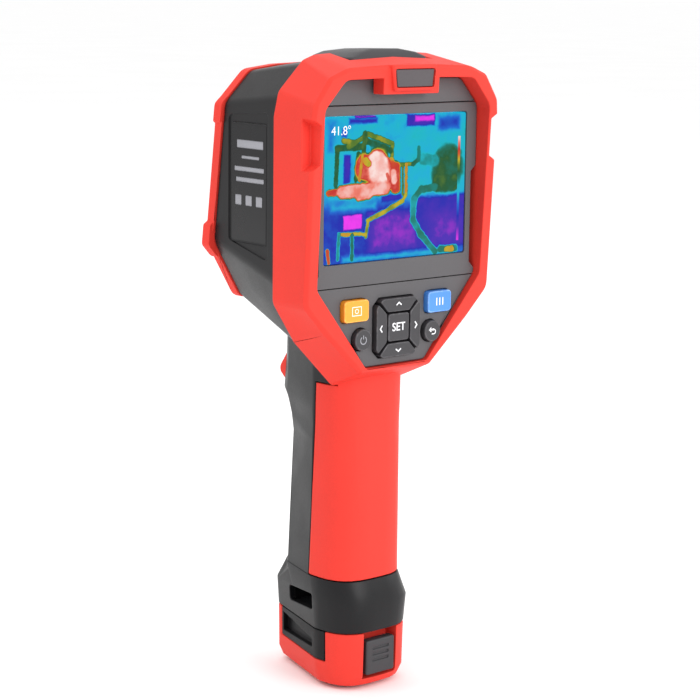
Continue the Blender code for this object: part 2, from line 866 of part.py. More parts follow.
def make_small_optics():
    face = front_face()(SMALL_OPTICS_Z)
    z = SMALL_OPTICS_Z
    windows = (
        ("camera_window", 0, CAMERA_RADIUS, 2.2, GLASS),
        ("lamp_lens", -SMALL_OPTICS_PITCH, LAMP_RADIUS, 3.4, GLASS),
        ("laser_window", SMALL_OPTICS_PITCH, LASER_RADIUS, 2.2, GLASS),
    )
    for name, x, radius, thick, look in windows:
        profile = [(0, 0), (radius - 0.4, 0), (radius, -0.4), (radius, -thick), (0, -thick)]
        turned(name, profile, (x, face - 0.8, z), look, steps=24, closed=False)
    back = face - 0.8 - 2.2 - GAP
    box("camera_module", (-4.2, 4.2), (back - 6, back), (z - 4.2, z + 4.2), BLACK, edge=0.4)
    tube = SMALL_OPTICS_PITCH
    rod("laser_module", (tube, back - 12, z), (tube, back, z), 3.2, BRASS, segments=20)


def make_sensor():
    board = (FRONT_SEAM - 14.5, FRONT_SEAM - 13)
    box("detector_board", (-21, 21), board, (LENS_Z - 19, LENS_Z + 19), BOARD_GREEN)
    front = board[1] + GAP
    detector = box(
        "ir_detector",
        (-8, 8),
        (front, front + 3.2),
        (LENS_Z - 8, LENS_Z + 8),
        ALUMINIUM,
        edge=0.5,
    )
    window = box("detector_window", (-5, 5), (front + 2.7, front + 5), (LENS_Z - 4, LENS_Z + 4))
    cut(detector, window)
    pivot = shutter_pivot()
    rod("shutter_motor", (pivot.x, front, pivot.z), pivot, 3.6, STEEL, segments=20)
    near = pivot.y + GAP
    hub = rod("shutter_hub", (pivot.x, near, pivot.z), (pivot.x, near + 0.6, pivot.z), 2.6)
    closed = [
        (-2, 1.8, 0.4),
        (-2, -1.8, 0.4),
        (-8, -7, 2.0),
        (-22, -7, 2.0),
        (-22, 7, 2.0),
        (-8, 7, 2.0),
    ]
    park = math.radians(SHUTTER_SWING)
    arm = [
        (
            pivot.x + u * math.cos(park) - v * math.sin(park),
            pivot.z + u * math.sin(park) + v * math.cos(park),
            r,
        )
        for u, v, r in closed
    ]
    blade = prism("shutter_blade", arm, near, near + 0.6, STEEL, origin=pivot, steps=2)
    join(blade, hub)


def shutter_pivot():
    return Vector((16.0, FRONT_SEAM - 13 + GAP + 5.4, LENS_Z))


def make_screen_surround():
    whole = inset(opening_corners(), GAP)
    pieces = (
        ("top_trim", TOP_SEAM + GAP / 2, 60),
        ("screen_bezel", KEYPAD_SEAM + GAP / 2, TOP_SEAM - GAP / 2),
        ("keypad_panel", -80, KEYPAD_SEAM - GAP / 2),
    )
    for name, low, high in pieces:
        piece = prism(name, whole, BEZEL_FRONT, BEZEL_BACK, BEZEL_GREY, edge=0.35)
        keep_within(piece, box(f"{name}_span", (-60, 60), (-5, 10), (low, high)))
        if name == "screen_bezel":
            for side in (-1, 1):
                cut(piece, side_relief(side))
            cut(piece, screen_window("screen_opening", SCREEN_BORDER + GAP, -5, 10))
        if name == "keypad_panel":
            cut(piece, *key_openings())


def side_relief(side):
    """The step beside the screen that leaves a dark gap along the frame."""
    w = HEAD_HALF_WIDTH - LIP_WIDTH
    inner = w - RELIEF_DEPTH
    corners = [(inner, 4, 0), (inner, -31, 0), (w + 3, -37, 0), (w + 3, 10, 0)]
    corners = [(side * x, z, r) for x, z, r in corners]
    return prism(f"side_relief_{'left' if side < 0 else 'right'}", corners, -5, 10)


def screen_window(name, border, near, far, look=None, edge=0.0):
    x = SCREEN_WIDTH / 2 + border
    z = SCREEN_HEIGHT / 2 + border
    corners = [(-x, z, 0.8), (x, z, 0.8), (x, -z, 0.8), (-x, -z, 0.8)]
    return prism(name, corners, near, far, look, steps=2, edge=edge)


def make_display():
    screen_window("display_glass", SCREEN_BORDER, 0, GLASS_THICK, GLASS, edge=0.2)
    x = SCREEN_WIDTH / 2 + LCD_SIDE_BORDER
    low, high = -SCREEN_HEIGHT / 2 - LCD_FOOT_BORDER, SCREEN_HEIGHT / 2 + LCD_TOP_BORDER
    near = BEZEL_BACK + GAP
    box("lcd_module", (-x, x), (near, near + LCD_THICK), (low, high), ALUMINIUM, edge=0.3)


def key_shapes():
    """Each key as name, outline (x, z) about its middle, middle, flange outline, flange depth, look."""
    w, h = SOFT_KEY_WIDTH / 2, SOFT_KEY_HEIGHT / 2
    soft = [(-w, h, 1.6), (w, h, 1.6), (w, -h, 1.6), (-w, -h, 1.6)]
    sides = 20
    turn = 2 * math.pi / sides
    round_key = [
        (ROUND_KEY_RADIUS * math.cos(-i * turn), ROUND_KEY_RADIUS * math.sin(-i * turn), 0)
        for i in range(sides)
    ]
    s = SET_HALF
    square = [(-s, s, 1.2), (s, s, 1.2), (s, -s, 1.2), (-s, -s, 1.2)]
    shapes = [
        ("photo_key", soft, (-SOFT_KEY_X, SOFT_KEY_Z), None, FLANGE_FRONT, YELLOW),
        ("mode_key", soft, (SOFT_KEY_X, SOFT_KEY_Z), None, FLANGE_FRONT, BLUE),
        ("power_key", round_key, (-ROUND_KEY_X, ROUND_KEY_Z), None, FLANGE_FRONT, KEY_GREY),
        ("return_key", round_key, (ROUND_KEY_X, ROUND_KEY_Z), None, FLANGE_FRONT, KEY_GREY),
        ("set_key", square, (0, NAV_Z), None, SET_FLANGE_FRONT, KEY_GREY),
    ]
    inner = SET_HALF + KEY_GAP * 2
    outer = NAV_HALF
    arrow = [
        (-outer + 1.9, outer - 1.0, 0.9),
        (-outer + 3.4, outer, 0.9),
        (outer - 3.4, outer, 0.9),
        (outer - 1.9, outer - 1.0, 0.9),
        (inner - 0.6, inner, 0.4),
        (-inner + 0.6, inner, 0.4),
    ]
    for name, turns in (("up_key", 0), ("right_key", 1), ("down_key", 2), ("left_key", 3)):
        outline = quarter_turned(arrow, turns)
        out_x, out_z = quarter_turned([(0, KEY_FLANGE, 0)], turns)[0][:2]
        flange = [(u + out_x, v + out_z, r) for u, v, r in outline]
        shapes.append((name, outline, (0, NAV_Z), flange, FLANGE_FRONT, KEY_GREY))
    return shapes


def quarter_turned(corners, turns):
    """An outline turned clockwise by quarter turns."""
    for _ in range(turns):
        corners = [(v, -u, r) for u, v, r in corners]
    return corners


def shifted(corners, middle):
    return [(u + middle[0], v + middle[1], r) for u, v, r in corners]


def make_keys():
    for name, outline, middle, flange, flange_front, look in key_shapes():
        cap = shifted(outline, middle)
        wide = shifted(flange, middle) if flange else inset(cap, -KEY_FLANGE)
        top = BEZEL_FRONT - KEY_PROUD
        rings = [
            upright(rounded(inset(cap, 0.5)), top),
            upright(rounded(cap), top + 0.5),
            upright(rounded(cap), flange_front),
            upright(rounded(wide), flange_front),
            upright(rounded(wide), flange_front + KEY_FLANGE_THICK),
        ]
        loft(name, rings, look, origin=(middle[0], top, middle[1]))


def key_openings():
    openings = []
    for name, outline, middle, _flange, _depth, _look in key_shapes():
        if middle == (0, NAV_Z):
            continue
        hole = inset(shifted(outline, middle), -KEY_GAP)
        openings.append(prism(f"{name}_opening", hole, -8, 10))
    side = NAV_HALF + KEY_GAP
    corners = [
        (-side + 3, side, 1),
        (side - 3, side, 1),
        (side, side - 3, 1),
        (side, -side + 3, 1),
        (side - 3, -side, 1),
        (-side + 3, -side, 1),
        (-side, -side + 3, 1),
        (-side, side - 3, 1),
    ]
    openings.append(prism("nav_opening", shifted(corners, (0, NAV_Z)), -8, 10))
    return openings


def make_keypad_inside():
    low = inset(opening_corners(), GAP + SHELL_WALL + 0.5)
    far = MEMBRANE_FRONT + 1.0
    membrane = prism("keypad_membrane", low, MEMBRANE_FRONT, far, RUBBER)
    span = (-80, KEYPAD_SEAM - 1)
    keep_within(membrane, box("membrane_span", (-60, 60), (0, 30), span))
    board = prism("key_board", low, far + GAP, far + GAP + 1.2, BOARD_GREEN)
    keep_within(board, box("key_board_span", (-60, 60), (0, 30), span))


def make_main_board():
    near = BEZEL_BACK + GAP + LCD_THICK + 5
    box("main_board", (-34, 34), (near, near + 1.6), (-34, 34), BOARD_GREEN)
    chip = box("main_chip", (-9, 9), (near + 1.0, near + 3.4), (-8, 10))
    join(bpy.data.objects["main_board"], chip)
    start, end = (24, near + 1.6 + GAP, -24), (24, near + 6, -24)
    rod("speaker", start, end, 8, BLACK, segments=24)


def make_ports():
    middle = (BAY_BACK + BAY_FRONT) / 2
    floor = 34.4
    room = (BAY_BACK - 1, BAY_FRONT + 1)
    box("io_board", (-12.8, 12.8), room, (floor, floor + 1.6), BOARD_GREEN)
    base = floor + 1.6 + GAP
    usb = box("usb_connector", (-11, -2), (middle - 3.6, middle + 3.6), (base, base + 3.6), STEEL)
    mouth = box(
        "usb_mouth", (-10.4, -2.6), (middle - 1.2, middle + 1.2), (base + 0.8, base + 6)
    )
    cut(usb, mouth)
    card = box("card_slot", (0, 12), (middle - 4, middle + 4), (base, base + 2.4), STEEL)
    slit = box("card_mouth", (0.8, 11.2), (middle - 0.6, middle + 0.6), (base + 0.8, base + 6))
    cut(card, slit)


def make_port_cover():
    w, tip = COVER_HALF_WIDTH, COVER_FRONT_HALF_WIDTH
    back, front = COVER_BACK, COVER_FRONT

    def plan(shrink, ends):
        return [
            (-w + shrink, back + ends, 4),
            (w - shrink, back + ends, 4),
            (tip - shrink, front - shrink * 0.6, 4),
            (-tip + shrink, front - shrink * 0.6, 4),
        ]

    loft(
        "port_cover",
        [
            level(rounded(plan(0, 0)), COVER_FLOOR),
            level(rounded(plan(0, 0)), COVER_FLOOR + 2.2),
            level(rounded(plan(4.0, 1.6)), COVER_TOP - 1.4),
            level(rounded(plan(11.0, 3.6)), lambda y: COVER_TOP - 0.02 * (y - back)),
        ],
        RUBBER,
        origin=cover_hinge(),
    )


def cover_hinge():
    return Vector((0, COVER_FRONT - 0.4, COVER_FLOOR + 1.8))


def make_handle_shell():
    handle = grip_solid("handle_shell_core")
    collection(CUTTERS).objects.unlink(handle)
    collection(PARTS).objects.link(handle)
    handle.name = "handle_shell"
    handle.hide_render = False
    handle.display_type = "TEXTURED"
    handle.data.materials.append(material("handle_shell", BLACK))
    top = loft(
        "neck_top_off",
        [
            [
                Vector((x, y, underside(y) - GAP + lift))
                for x, y in ((-60, -30), (60, -30), (60, 120), (-60, 120))
            ]
            for lift in (0, 90)
        ],
    )
    cut(
        handle,
        top,
        box("neck_back_off", (-60, 60), (-30, REAR_SEAM + GAP), (GRIP_TOP - GAP, 30)),
        beyond_seam("grip_back_off", GAP, -30, GRIP_BOTTOM - GAP, GRIP_TOP),
    )
    flare = skirt_corners()
    skirt = loft(
        "skirt",
        [
            level(rounded(inset(grip_foot_corners(), -0.2), GRIP_STEPS), GRIP_BOTTOM - GAP),
            level(rounded(inset(flare, -0.7), GRIP_STEPS), GRIP_BOTTOM - 9),
            level(rounded(flare, GRIP_STEPS), SKIRT_BOTTOM + GAP / 2),
        ],
    )
    join(handle, skirt)
    cut(handle, grip_cavity("handle_cavity"), neck_passage(), trigger_room())
    cut(handle, trigger_ear_room())
    for side in (-1, 1):
        cut(handle, strap_slot(side))


def neck_passage():
    return box("neck_passage", (-12, 12), (21, 43), (GRIP_TOP, -40))


def trigger_room():
    half = TRIGGER_HALF_WIDTH + TRIGGER_ROOM
    low = TRIGGER_BOTTOM - 1.2
    return box("trigger_room", (-half, half), (TRIGGER_BACK, 90), (low, TRIGGER_TOP + 1.0))


def trigger_ear_room():
    half = TRIGGER_HALF_WIDTH + TRIGGER_EAR + TRIGGER_ROOM
    low = (TRIGGER_TOP + TRIGGER_BOTTOM) / 2 + 0.4
    far = TRIGGER_SHOULDER + GAP
    return box("trigger_ear_room", (-half, half), (TRIGGER_BACK + 0.7, far), (low, TRIGGER_TOP))


def strap_slot(side):
    """The slot for a wrist strap, through the skirt's side."""
    middle = GRIP_BOTTOM - 10.1
    half = STRAP_SLOT_HEIGHT / 2
    near, far, fall = 24.0, 45.5, 2.2
    corners = [
        (near, middle + half, 1.5),
        (far, middle - fall + half, 1.5),
        (far, middle - fall - half, 1.5),
        (near, middle - half, 1.5),
    ]
    points = rounded(corners)
    rings = [[Vector((side * x, p.x, p.y)) for p in points] for x in (8.3, 31)]
    return loft(f"strap_slot_{'left' if side < 0 else 'right'}", rings)


def make_trigger():
    half = TRIGGER_HALF_WIDTH
    middle = (TRIGGER_TOP + TRIGGER_BOTTOM) / 2
    side_view = [
        (TRIGGER_SHOULDER - 2.2, TRIGGER_TOP, 1),
        (56.5, TRIGGER_TOP, 1),
        (TRIGGER_TIP - 0.4, middle - 0.5, 3),
        (TRIGGER_TIP - 0.9, middle - 3.0, 2),
        (56.5, TRIGGER_BOTTOM, 1),
        (SPRING_END + GAP, TRIGGER_BOTTOM, 1),
        (SPRING_END + GAP, middle - 0.8, 1),
        (TRIGGER_SHOULDER - 2.2, middle - 0.5, 1),
    ]
    rings = []
    for x, shrink in ((-half, 0.9), (-half + 0.9, 0), (half - 0.9, 0), (half, 0.9)):
        points = rounded(inset(side_view, shrink))
        rings.append([Vector((x, p.x, p.y)) for p in points])
    trigger = loft("trigger", rings, RED, origin=(0, TRIGGER_SHOULDER, middle))
    ear = half + TRIGGER_EAR
    ears = box(
        "trigger_ears",
        (-ear, ear),
        (TRIGGER_SHOULDER - 1.9, TRIGGER_SHOULDER),
        (middle + 1.2, TRIGGER_TOP - 1.2),
    )
    join(trigger, ears)
    switch = (TRIGGER_BOTTOM + 1.0, TRIGGER_BOTTOM + 6.0)
    box("trigger_switch", (-4.8, 4.8), (TRIGGER_BACK + GAP, SPRING_START - GAP), switch, KEY_GREY)
    make_trigger_spring()


def make_trigger_spring():
    """A small coil between the switch and the trigger's back, lying along y."""
    start, length, radius, wire = SPRING_START, SPRING_END - SPRING_START, 1.7, 0.3
    turns, per_turn = 5, 9
    middle = TRIGGER_BOTTOM + 3.5
    count = turns * per_turn + 1
    curve = bpy.data.curves.new("trigger_spring", "CURVE")
    curve.dimensions = "3D"
    curve.bevel_depth = wire * MM
    curve.bevel_resolution = 2
    curve.use_fill_caps = True
    spline = curve.splines.new("POLY")
    spline.points.add(count - 1)
    for i in range(count):
        angle = 2 * math.pi * i / per_turn
        spot = Vector(
            (
                radius * math.cos(angle),
                start + wire + (length - 2 * wire) * i / (count - 1),
                middle + radius * math.sin(angle),
            )
        )
        spline.points[i].co = (*((spot - ORIGIN) * MM), 1)
    obj = bpy.data.objects.new("trigger_spring", curve)
    curve.materials.append(material("trigger_spring", STEEL))
    collection(PARTS).objects.link(obj)


def make_battery_case():
    case = battery_solid("battery_case", 0.0, RED, GAP / 2)
    hollow = box(
        "battery_hollow",
        (-9.3, 9.3),
        (SKIRT_BACK + 9, TOWER_Y + 9),
        (BASE + BATTERY_FLOOR, SKIRT_BOTTOM + 5),
    )
    cut(case, hollow, latch_bay())
    for side in (-1, 1):
        cut(case, pad_room(side, PAD_DEPTH + GAP, GAP))


def latch_bay():
    room = LATCH_WIDTH / 2 + 1.2
    top = SKIRT_BOTTOM + 5
    return box("latch_bay", (-room, room), (-10, SKIRT_BACK + 7), (BASE + 4.2, top))


def pad_room(side, depth, spare):
    """The battery's side where a pad lies: the outer depth of it, over the pad's own span."""
    tag = f"{'left' if side < 0 else 'right'}_{depth:.1f}"
    skin = battery_solid(f"pad_skin_{tag}", -3.0)
    cut(skin, battery_solid(f"pad_core_{tag}", depth, top=-8))
    ends = sorted((side * 4, side * 40))
    span = box(
        f"pad_span_{tag}",
        ends,
        (PAD_BACK - spare, PAD_NOSE + spare),
        (BASE + PAD_LOW - spare, SKIRT_BOTTOM + (5 if spare else -GAP / 2)),
    )
    keep_within(skin, span)
    return skin


def make_battery_pads():
    for side in (-1, 1):
        name = f"battery_pad_{'left' if side < 0 else 'right'}"
        pad = battery_solid(name, 0.0, BLACK, GAP / 2)
        keep_within(pad, pad_room(side, PAD_DEPTH, 0.0))
        groove = loft(
            f"{name}_groove",
            [
                [
                    Vector((side * x, y, z))
                    for y, z in (
                        (25, SKIRT_BOTTOM - 8.3),
                        (52.5, SKIRT_BOTTOM - 9.8),
                        (52.5, SKIRT_BOTTOM - 2.2),
                        (25, SKIRT_BOTTOM - 5.0),
                    )
                ]
                for x in (0, SKIRT_HALF_WIDTH + 6)
            ],
        )
        for vertex in groove.data.vertices:
            if abs(vertex.co.x) < MM:
                vertex.co.x = side * pad_floor(vertex.co.y / MM + ORIGIN.y) * MM
        cut(pad, groove)


def pad_floor(y):
    """Half width of the groove's floor at a depth y, a little inside the pad's slanting face."""
    near, far = SKIRT_SHOULDER, SKIRT_NOSE - 18.5
    slope = 6 / (far - near)
    return SKIRT_HALF_WIDTH - slope * (y - near) - PAD_DEPTH + 1.0


def make_battery_inside():
    flange_low = SKIRT_BOTTOM + GAP
    flange_high = flange_low + 2.0
    plan = inset(grip_foot_corners(), GRIP_WALL + 0.5)
    tower = loft(
        "battery_tower",
        [level(rounded(plan, GRIP_STEPS), height) for height in (flange_low, flange_high)],
        BLACK,
    )
    radius = CELL_RADIUS + CELL_CLEARANCE + TOWER_WALL
    top = flange_low + CELL_LENGTH + 4
    tube = rod("tower_tube", (0, TOWER_Y, flange_low + 0.5), (0, TOWER_Y, top), radius)
    bore = rod(
        "tower_bore",
        (0, TOWER_Y, flange_low - 9),
        (0, TOWER_Y, top - 1.6),
        CELL_RADIUS + CELL_CLEARANCE,
    )
    join(tower, tube)
    cut(tower, bore)
    start = flange_low + 1.2
    end = start + CELL_LENGTH
    rod("battery_cell", (0, TOWER_Y, start), (0, TOWER_Y, end), CELL_RADIUS, CELL_WRAP)
    box(
        "contact_block",
        (-6.5, 6.5),
        (TOWER_Y - 4, TOWER_Y + 4),
        (top + GAP, top + 3.2),
        BRASS,
        edge=0.3,
    )
    box(
        "dock_contacts",
        (-7, 7),
        (TOWER_Y - 4.5, TOWER_Y + 4.5),
        (top + 3.2 + GAP, top + 8.2),
        KEY_GREY,
        edge=0.3,
    )
    box(
        "battery_board",
        (-8.6, 8.6),
        (SKIRT_BACK + 12, TOWER_Y + 8),
        (SKIRT_BOTTOM - 8.5, SKIRT_BOTTOM - 7.1),
        BOARD_GREEN,
    )


def make_battery_latch():
    half = LATCH_WIDTH / 2
    low = BASE + 5.6
    high = low + LATCH_HEIGHT
    near = SKIRT_BACK + 0.15
    corners = [(-half, high, 1), (half, high, 1), (half, low, 1), (-half, low, 1)]
    middle = (low + high) / 2
    latch = prism(
        "battery_latch", corners, near, near + 3.6, BLACK, origin=(0, near, middle), edge=0.5
    )
    for i in range(3):
        z = high - 3.4 - 2.4 * i
        groove = box(f"latch_groove_{i + 1}", (-4.2, 4.2), (-5, near + 0.6), (z - 0.55, z + 0.55))
        cut(latch, groove)
    strip = 0.4
    points = [
        (-5.5, near + 3.6 + GAP),
        (-1.5, near + 3.6 + GAP),
        (3.0, near + 5.4),
        (5.5, near + 5.4),
    ]
    outline = [(z, y) for z, y in points] + [(z, y + strip) for z, y in reversed(points)]
    rings = [[Vector((x, y, middle + z)) for z, y in outline] for x in (-2.2, 2.2)]
    loft("latch_spring", rings, STEEL)


def main():
    clear_scene()
    make_rear_bumper()
    make_lug_window()
    make_head_shell()
    make_front_bumper()
    make_front_plate()
    make_front_screws()
    make_lens()
    make_small_optics()
    make_sensor()
    make_screen_surround()
    make_display()
    make_keys()
    make_keypad_inside()
    make_main_board()
    make_ports()
    make_port_cover()
    make_handle_shell()
    make_trigger()
    make_battery_case()
    make_battery_pads()
    make_battery_inside()
    make_battery_latch()


if __name__ == "__main__":
    main()
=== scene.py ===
"""Finishes and details of a pistol-grip thermal imaging camera, built round its frame."""
import math

import bmesh
import bpy
from mathutils import Matrix, Vector


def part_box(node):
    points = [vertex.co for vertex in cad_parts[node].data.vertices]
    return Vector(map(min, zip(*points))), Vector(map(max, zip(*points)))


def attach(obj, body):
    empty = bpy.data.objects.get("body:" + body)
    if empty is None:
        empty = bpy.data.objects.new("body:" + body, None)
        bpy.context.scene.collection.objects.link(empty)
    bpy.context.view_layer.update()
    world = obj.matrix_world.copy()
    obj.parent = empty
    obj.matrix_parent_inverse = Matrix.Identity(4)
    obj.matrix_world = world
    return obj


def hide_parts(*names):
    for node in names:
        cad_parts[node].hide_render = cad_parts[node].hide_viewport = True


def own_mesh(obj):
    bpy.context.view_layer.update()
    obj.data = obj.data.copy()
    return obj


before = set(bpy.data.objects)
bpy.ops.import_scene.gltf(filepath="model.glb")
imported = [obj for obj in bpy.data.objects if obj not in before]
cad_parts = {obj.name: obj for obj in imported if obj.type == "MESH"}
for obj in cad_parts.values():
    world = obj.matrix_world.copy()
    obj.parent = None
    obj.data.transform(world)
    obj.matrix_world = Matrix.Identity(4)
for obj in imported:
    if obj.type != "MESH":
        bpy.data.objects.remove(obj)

bl_info = {
    "name": "Thermal Imaging Camera",
    "version": (1, 0, 0),
    "blender": (4, 5, 0),
    "location": "3D View > Sidebar > Thermal Camera",
    "description": "Builds the finished pieces of a pistol-grip thermal imaging camera",
    "category": "Add Mesh",
}

MM = 0.001
FLAT_ANGLE = 0.8  # degrees: facets that are nearer than this to flat are merged
SHORT_EDGE = 0.22  # millimetres: edges shorter than this are closed up
DOUBLED = 0.02  # millimetres: points nearer than this are one point
GENTLE_TURN = math.radians(50)  # edges that bend less than this are one line
SHARP_ANGLE = math.radians(28)  # edges sharper than this are rounded
SMOOTH_ANGLE = math.radians(32)  # faces that meet at less than this are shaded as one
ROOM_SHARE = 0.45  # of a neighbouring edge's length, the most that one rounding may use
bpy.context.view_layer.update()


# Settings that a user would change


LENGTH = {"subtype": "DISTANCE", "unit": "LENGTH"}
PAINT = {"min": 0, "max": 1, "size": 3, "subtype": "COLOR"}


class ThermalCameraSizes(bpy.types.PropertyGroup):
    """Sizes of the details"""

    edge_round: bpy.props.FloatProperty(
        name="Edge rounding", description="Width of the rounded edge on a large moulded piece",
        default=0.45 * MM, min=0.05 * MM, max=1.5 * MM, **LENGTH,
    )
    key_dish: bpy.props.FloatProperty(
        name="Key dish", description="Depth of the hollow in the top of a key",
        default=0.25 * MM, min=0, max=0.6 * MM, **LENGTH,
    )
    grain_depth: bpy.props.FloatProperty(
        name="Grain depth", description="Depth of the moulded grain",
        default=0.03 * MM, min=0, max=0.2 * MM, **LENGTH,
    )


class ThermalCameraColours(bpy.types.PropertyGroup):
    """Colours of the finishes"""

    rubber: bpy.props.FloatVectorProperty(
        name="Red rubber", description="Rubber frame and grip", default=(0.76, 0.044, 0.03),
        **PAINT,
    )
    shell: bpy.props.FloatVectorProperty(
        name="Black shell", description="Moulded black housing", default=(0.0075, 0.0072, 0.0082),
        **PAINT,
    )
    surround: bpy.props.FloatVectorProperty(
        name="Grey surround", description="Moulding around the screen and keys",
        default=(0.086, 0.082, 0.087), **PAINT,
    )
    keys: bpy.props.FloatVectorProperty(
        name="Grey keys", description="Rubber keys", default=(0.032, 0.03, 0.034),
        **PAINT,
    )
    photo_key: bpy.props.FloatVectorProperty(
        name="Yellow key", description="Upper left key", default=(0.95, 0.345, 0.022),
        **PAINT,
    )
    mode_key: bpy.props.FloatVectorProperty(
        name="Blue key", description="Upper right key", default=(0.065, 0.25, 0.74),
        **PAINT,
    )


def sizes():
    return bpy.context.scene.thermal_camera_sizes


def colours():
    return bpy.context.scene.thermal_camera_colours


# Node helpers


class Wiring:
    """Adds nodes to a tree and links them by value."""

    def __init__(self, tree):
        self.tree = tree

    def add(self, kind, inputs=None, **settings):
        node = self.tree.nodes.new(kind)
        for key, value in settings.items():
            setattr(node, key, value)
        for key, value in (inputs or {}).items():
            self.feed(node.inputs[key], value)
        return node

    def feed(self, socket, value):
        if isinstance(value, bpy.types.NodeSocket):
            self.tree.links.new(value, socket)
        else:
            socket.default_value = value

    def math(self, operation, a, b=0.0, clamp=False):
        node = self.add("ShaderNodeMath", {0: a, 1: b}, operation=operation, use_clamp=clamp)
        return node.outputs[0]

    def vector(self, operation, a, b=(0, 0, 0), out="Vector"):
        node = self.add("ShaderNodeVectorMath", {0: a, 1: b}, operation=operation)
        return node.outputs[out]

    def noise(self, where, scale, detail=2.0, roughness=0.5, out="Fac"):
        node = self.add(
            "ShaderNodeTexNoise",
            {"Vector": where, "Scale": scale, "Detail": detail, "Roughness": roughness},
        )
        return node.outputs[out]

    def ramp(self, value, low, high, to_low=0.0, to_high=1.0, smooth=True):
        node = self.add(
            "ShaderNodeMapRange",
            {
                "Value": value,
                "From Min": low,
                "From Max": high,
                "To Min": to_low,
                "To Max": to_high,
            },
            interpolation_type="SMOOTHSTEP" if smooth else "LINEAR",
        )
        return node.outputs["Result"]

    def mix(self, factor, a, b):
        node = self.add("ShaderNodeMix", data_type="RGBA")
        self.feed(node.inputs[0], factor)
        self.feed(node.inputs[6], a)
        self.feed(node.inputs[7], b)
        return node.outputs[2]

    def bump(self, shader, height, strength, distance):
        values = {"Height": height, "Strength": strength, "Distance": distance}
        node = self.add("ShaderNodeBump", values)
        self.feed(shader.inputs["Normal"], node.outputs["Normal"])

    def group(self, tree, inputs):
        node = self.tree.nodes.new("ShaderNodeGroup")
        node.node_tree = tree
        for key, value in inputs.items():
            self.feed(node.inputs[key], value)
        return node


def group_tree(name, inputs, outputs):
    """A shader node group with its named sockets, and the wiring, input and output nodes."""
    tree = bpy.data.node_groups.new(name, "ShaderNodeTree")
    for label, kind, value in inputs:
        socket = tree.interface.new_socket(label, in_out="INPUT", socket_type=kind)
        if value is not None:
            socket.default_value = value
    for label, kind in outputs:
        tree.interface.new_socket(label, in_out="OUTPUT", socket_type=kind)
    wiring = Wiring(tree)
    return tree, wiring, tree.nodes.new("NodeGroupInput"), tree.nodes.new("NodeGroupOutput")


def moulded_grain():
    """Height of a moulded surface: a fine spark-eroded grain with a slow waviness under it."""
    name = "moulded grain"
    if name in bpy.data.node_groups:
        return bpy.data.node_groups[name]
    tree, wire, source, sink = group_tree(
        name,
        [("Vector", "NodeSocketVector", None), ("Scale", "NodeSocketFloat", 1800.0)],
        [("Height", "NodeSocketFloat")],
    )
    where, scale = source.outputs["Vector"], source.outputs["Scale"]
    cells = wire.add("ShaderNodeTexVoronoi", {"Vector": where, "Scale": scale}, feature="SMOOTH_F1")
    fine = wire.noise(where, wire.math("MULTIPLY", scale, 1.7), 3.0, 0.6)
    slow = wire.noise(where, 90.0, 1.0)
    mixed = wire.math("ADD", wire.math("MULTIPLY", cells.outputs["Distance"], 0.6), fine)
    wire.feed(sink.inputs["Height"], wire.math("ADD", mixed, wire.math("MULTIPLY", slow, 1.5)))
    return tree


def wear_and_edge_highlight():
    """Colour and roughness of a handled surface: mottling, faint dust and brighter edges, partly
    wear and partly a painted highlight.
    """
    name = "handling wear"
    if name in bpy.data.node_groups:
        return bpy.data.node_groups[name]
    tree, wire, source, sink = group_tree(
        name,
        [
            ("Vector", "NodeSocketVector", None),
            ("Colour", "NodeSocketColor", (0.5, 0.5, 0.5, 1)),
            ("Worn colour", "NodeSocketColor", (0.7, 0.7, 0.7, 1)),
            ("Edge", "NodeSocketFloat", 0.0),
            ("Roughness", "NodeSocketFloat", 0.5),
            ("Mottle", "NodeSocketFloat", 0.05),
            ("Wear", "NodeSocketFloat", 0.3),
        ],
        [("Colour", "NodeSocketColor"), ("Roughness", "NodeSocketFloat")],
    )
    where = source.outputs["Vector"]
    patches = wire.ramp(wire.noise(where, 38.0, 4.0, 0.55), 0.3, 0.7, -1.0, 1.0)
    specks = wire.ramp(wire.noise(where, 1500.0, 2.0), 0.35, 0.65, -1.0, 1.0)
    both = wire.math("ADD", patches, wire.math("MULTIPLY", specks, 0.5))
    change = wire.math("MULTIPLY", both, source.outputs["Mottle"])
    scaled = wire.add("ShaderNodeHueSaturation", {"Color": source.outputs["Colour"]})
    wire.feed(scaled.inputs["Value"], wire.math("ADD", change, 1.0))
    broken = wire.ramp(wire.noise(where, 320.0, 4.0, 0.65), 0.42, 0.62)
    # The edge mask lightens the rounded edges: partly wear, partly a painted highlight along them.
    worn = wire.math("MULTIPLY", source.outputs["Edge"], source.outputs["Wear"])
    mask = wire.math("MULTIPLY", worn, wire.math("ADD", wire.math("MULTIPLY", broken, 0.7), 0.3))
    colour = wire.mix(mask, scaled.outputs["Color"], source.outputs["Worn colour"])
    wire.feed(sink.inputs["Colour"], colour)
    rough = wire.math("ADD", source.outputs["Roughness"], wire.math("MULTIPLY", both, 0.045))
    polished = wire.math("SUBTRACT", rough, wire.math("MULTIPLY", mask, 0.12), clamp=True)
    wire.feed(sink.inputs["Roughness"], polished)
    return tree


def new_material(name, plain=None):
    """An empty material with its wiring, its shader's plain values and Object coordinates."""
    made = bpy.data.materials.new(name)
    made.use_nodes = True
    tree = made.node_tree
    tree.nodes.clear()
    wire = Wiring(tree)
    shader = wire.add("ShaderNodeBsdfPrincipled", plain)
    wire.add("ShaderNodeOutputMaterial", {"Surface": shader.outputs[0]})
    where = wire.add("ShaderNodeTexCoord").outputs["Object"]
    return made, wire, shader, where


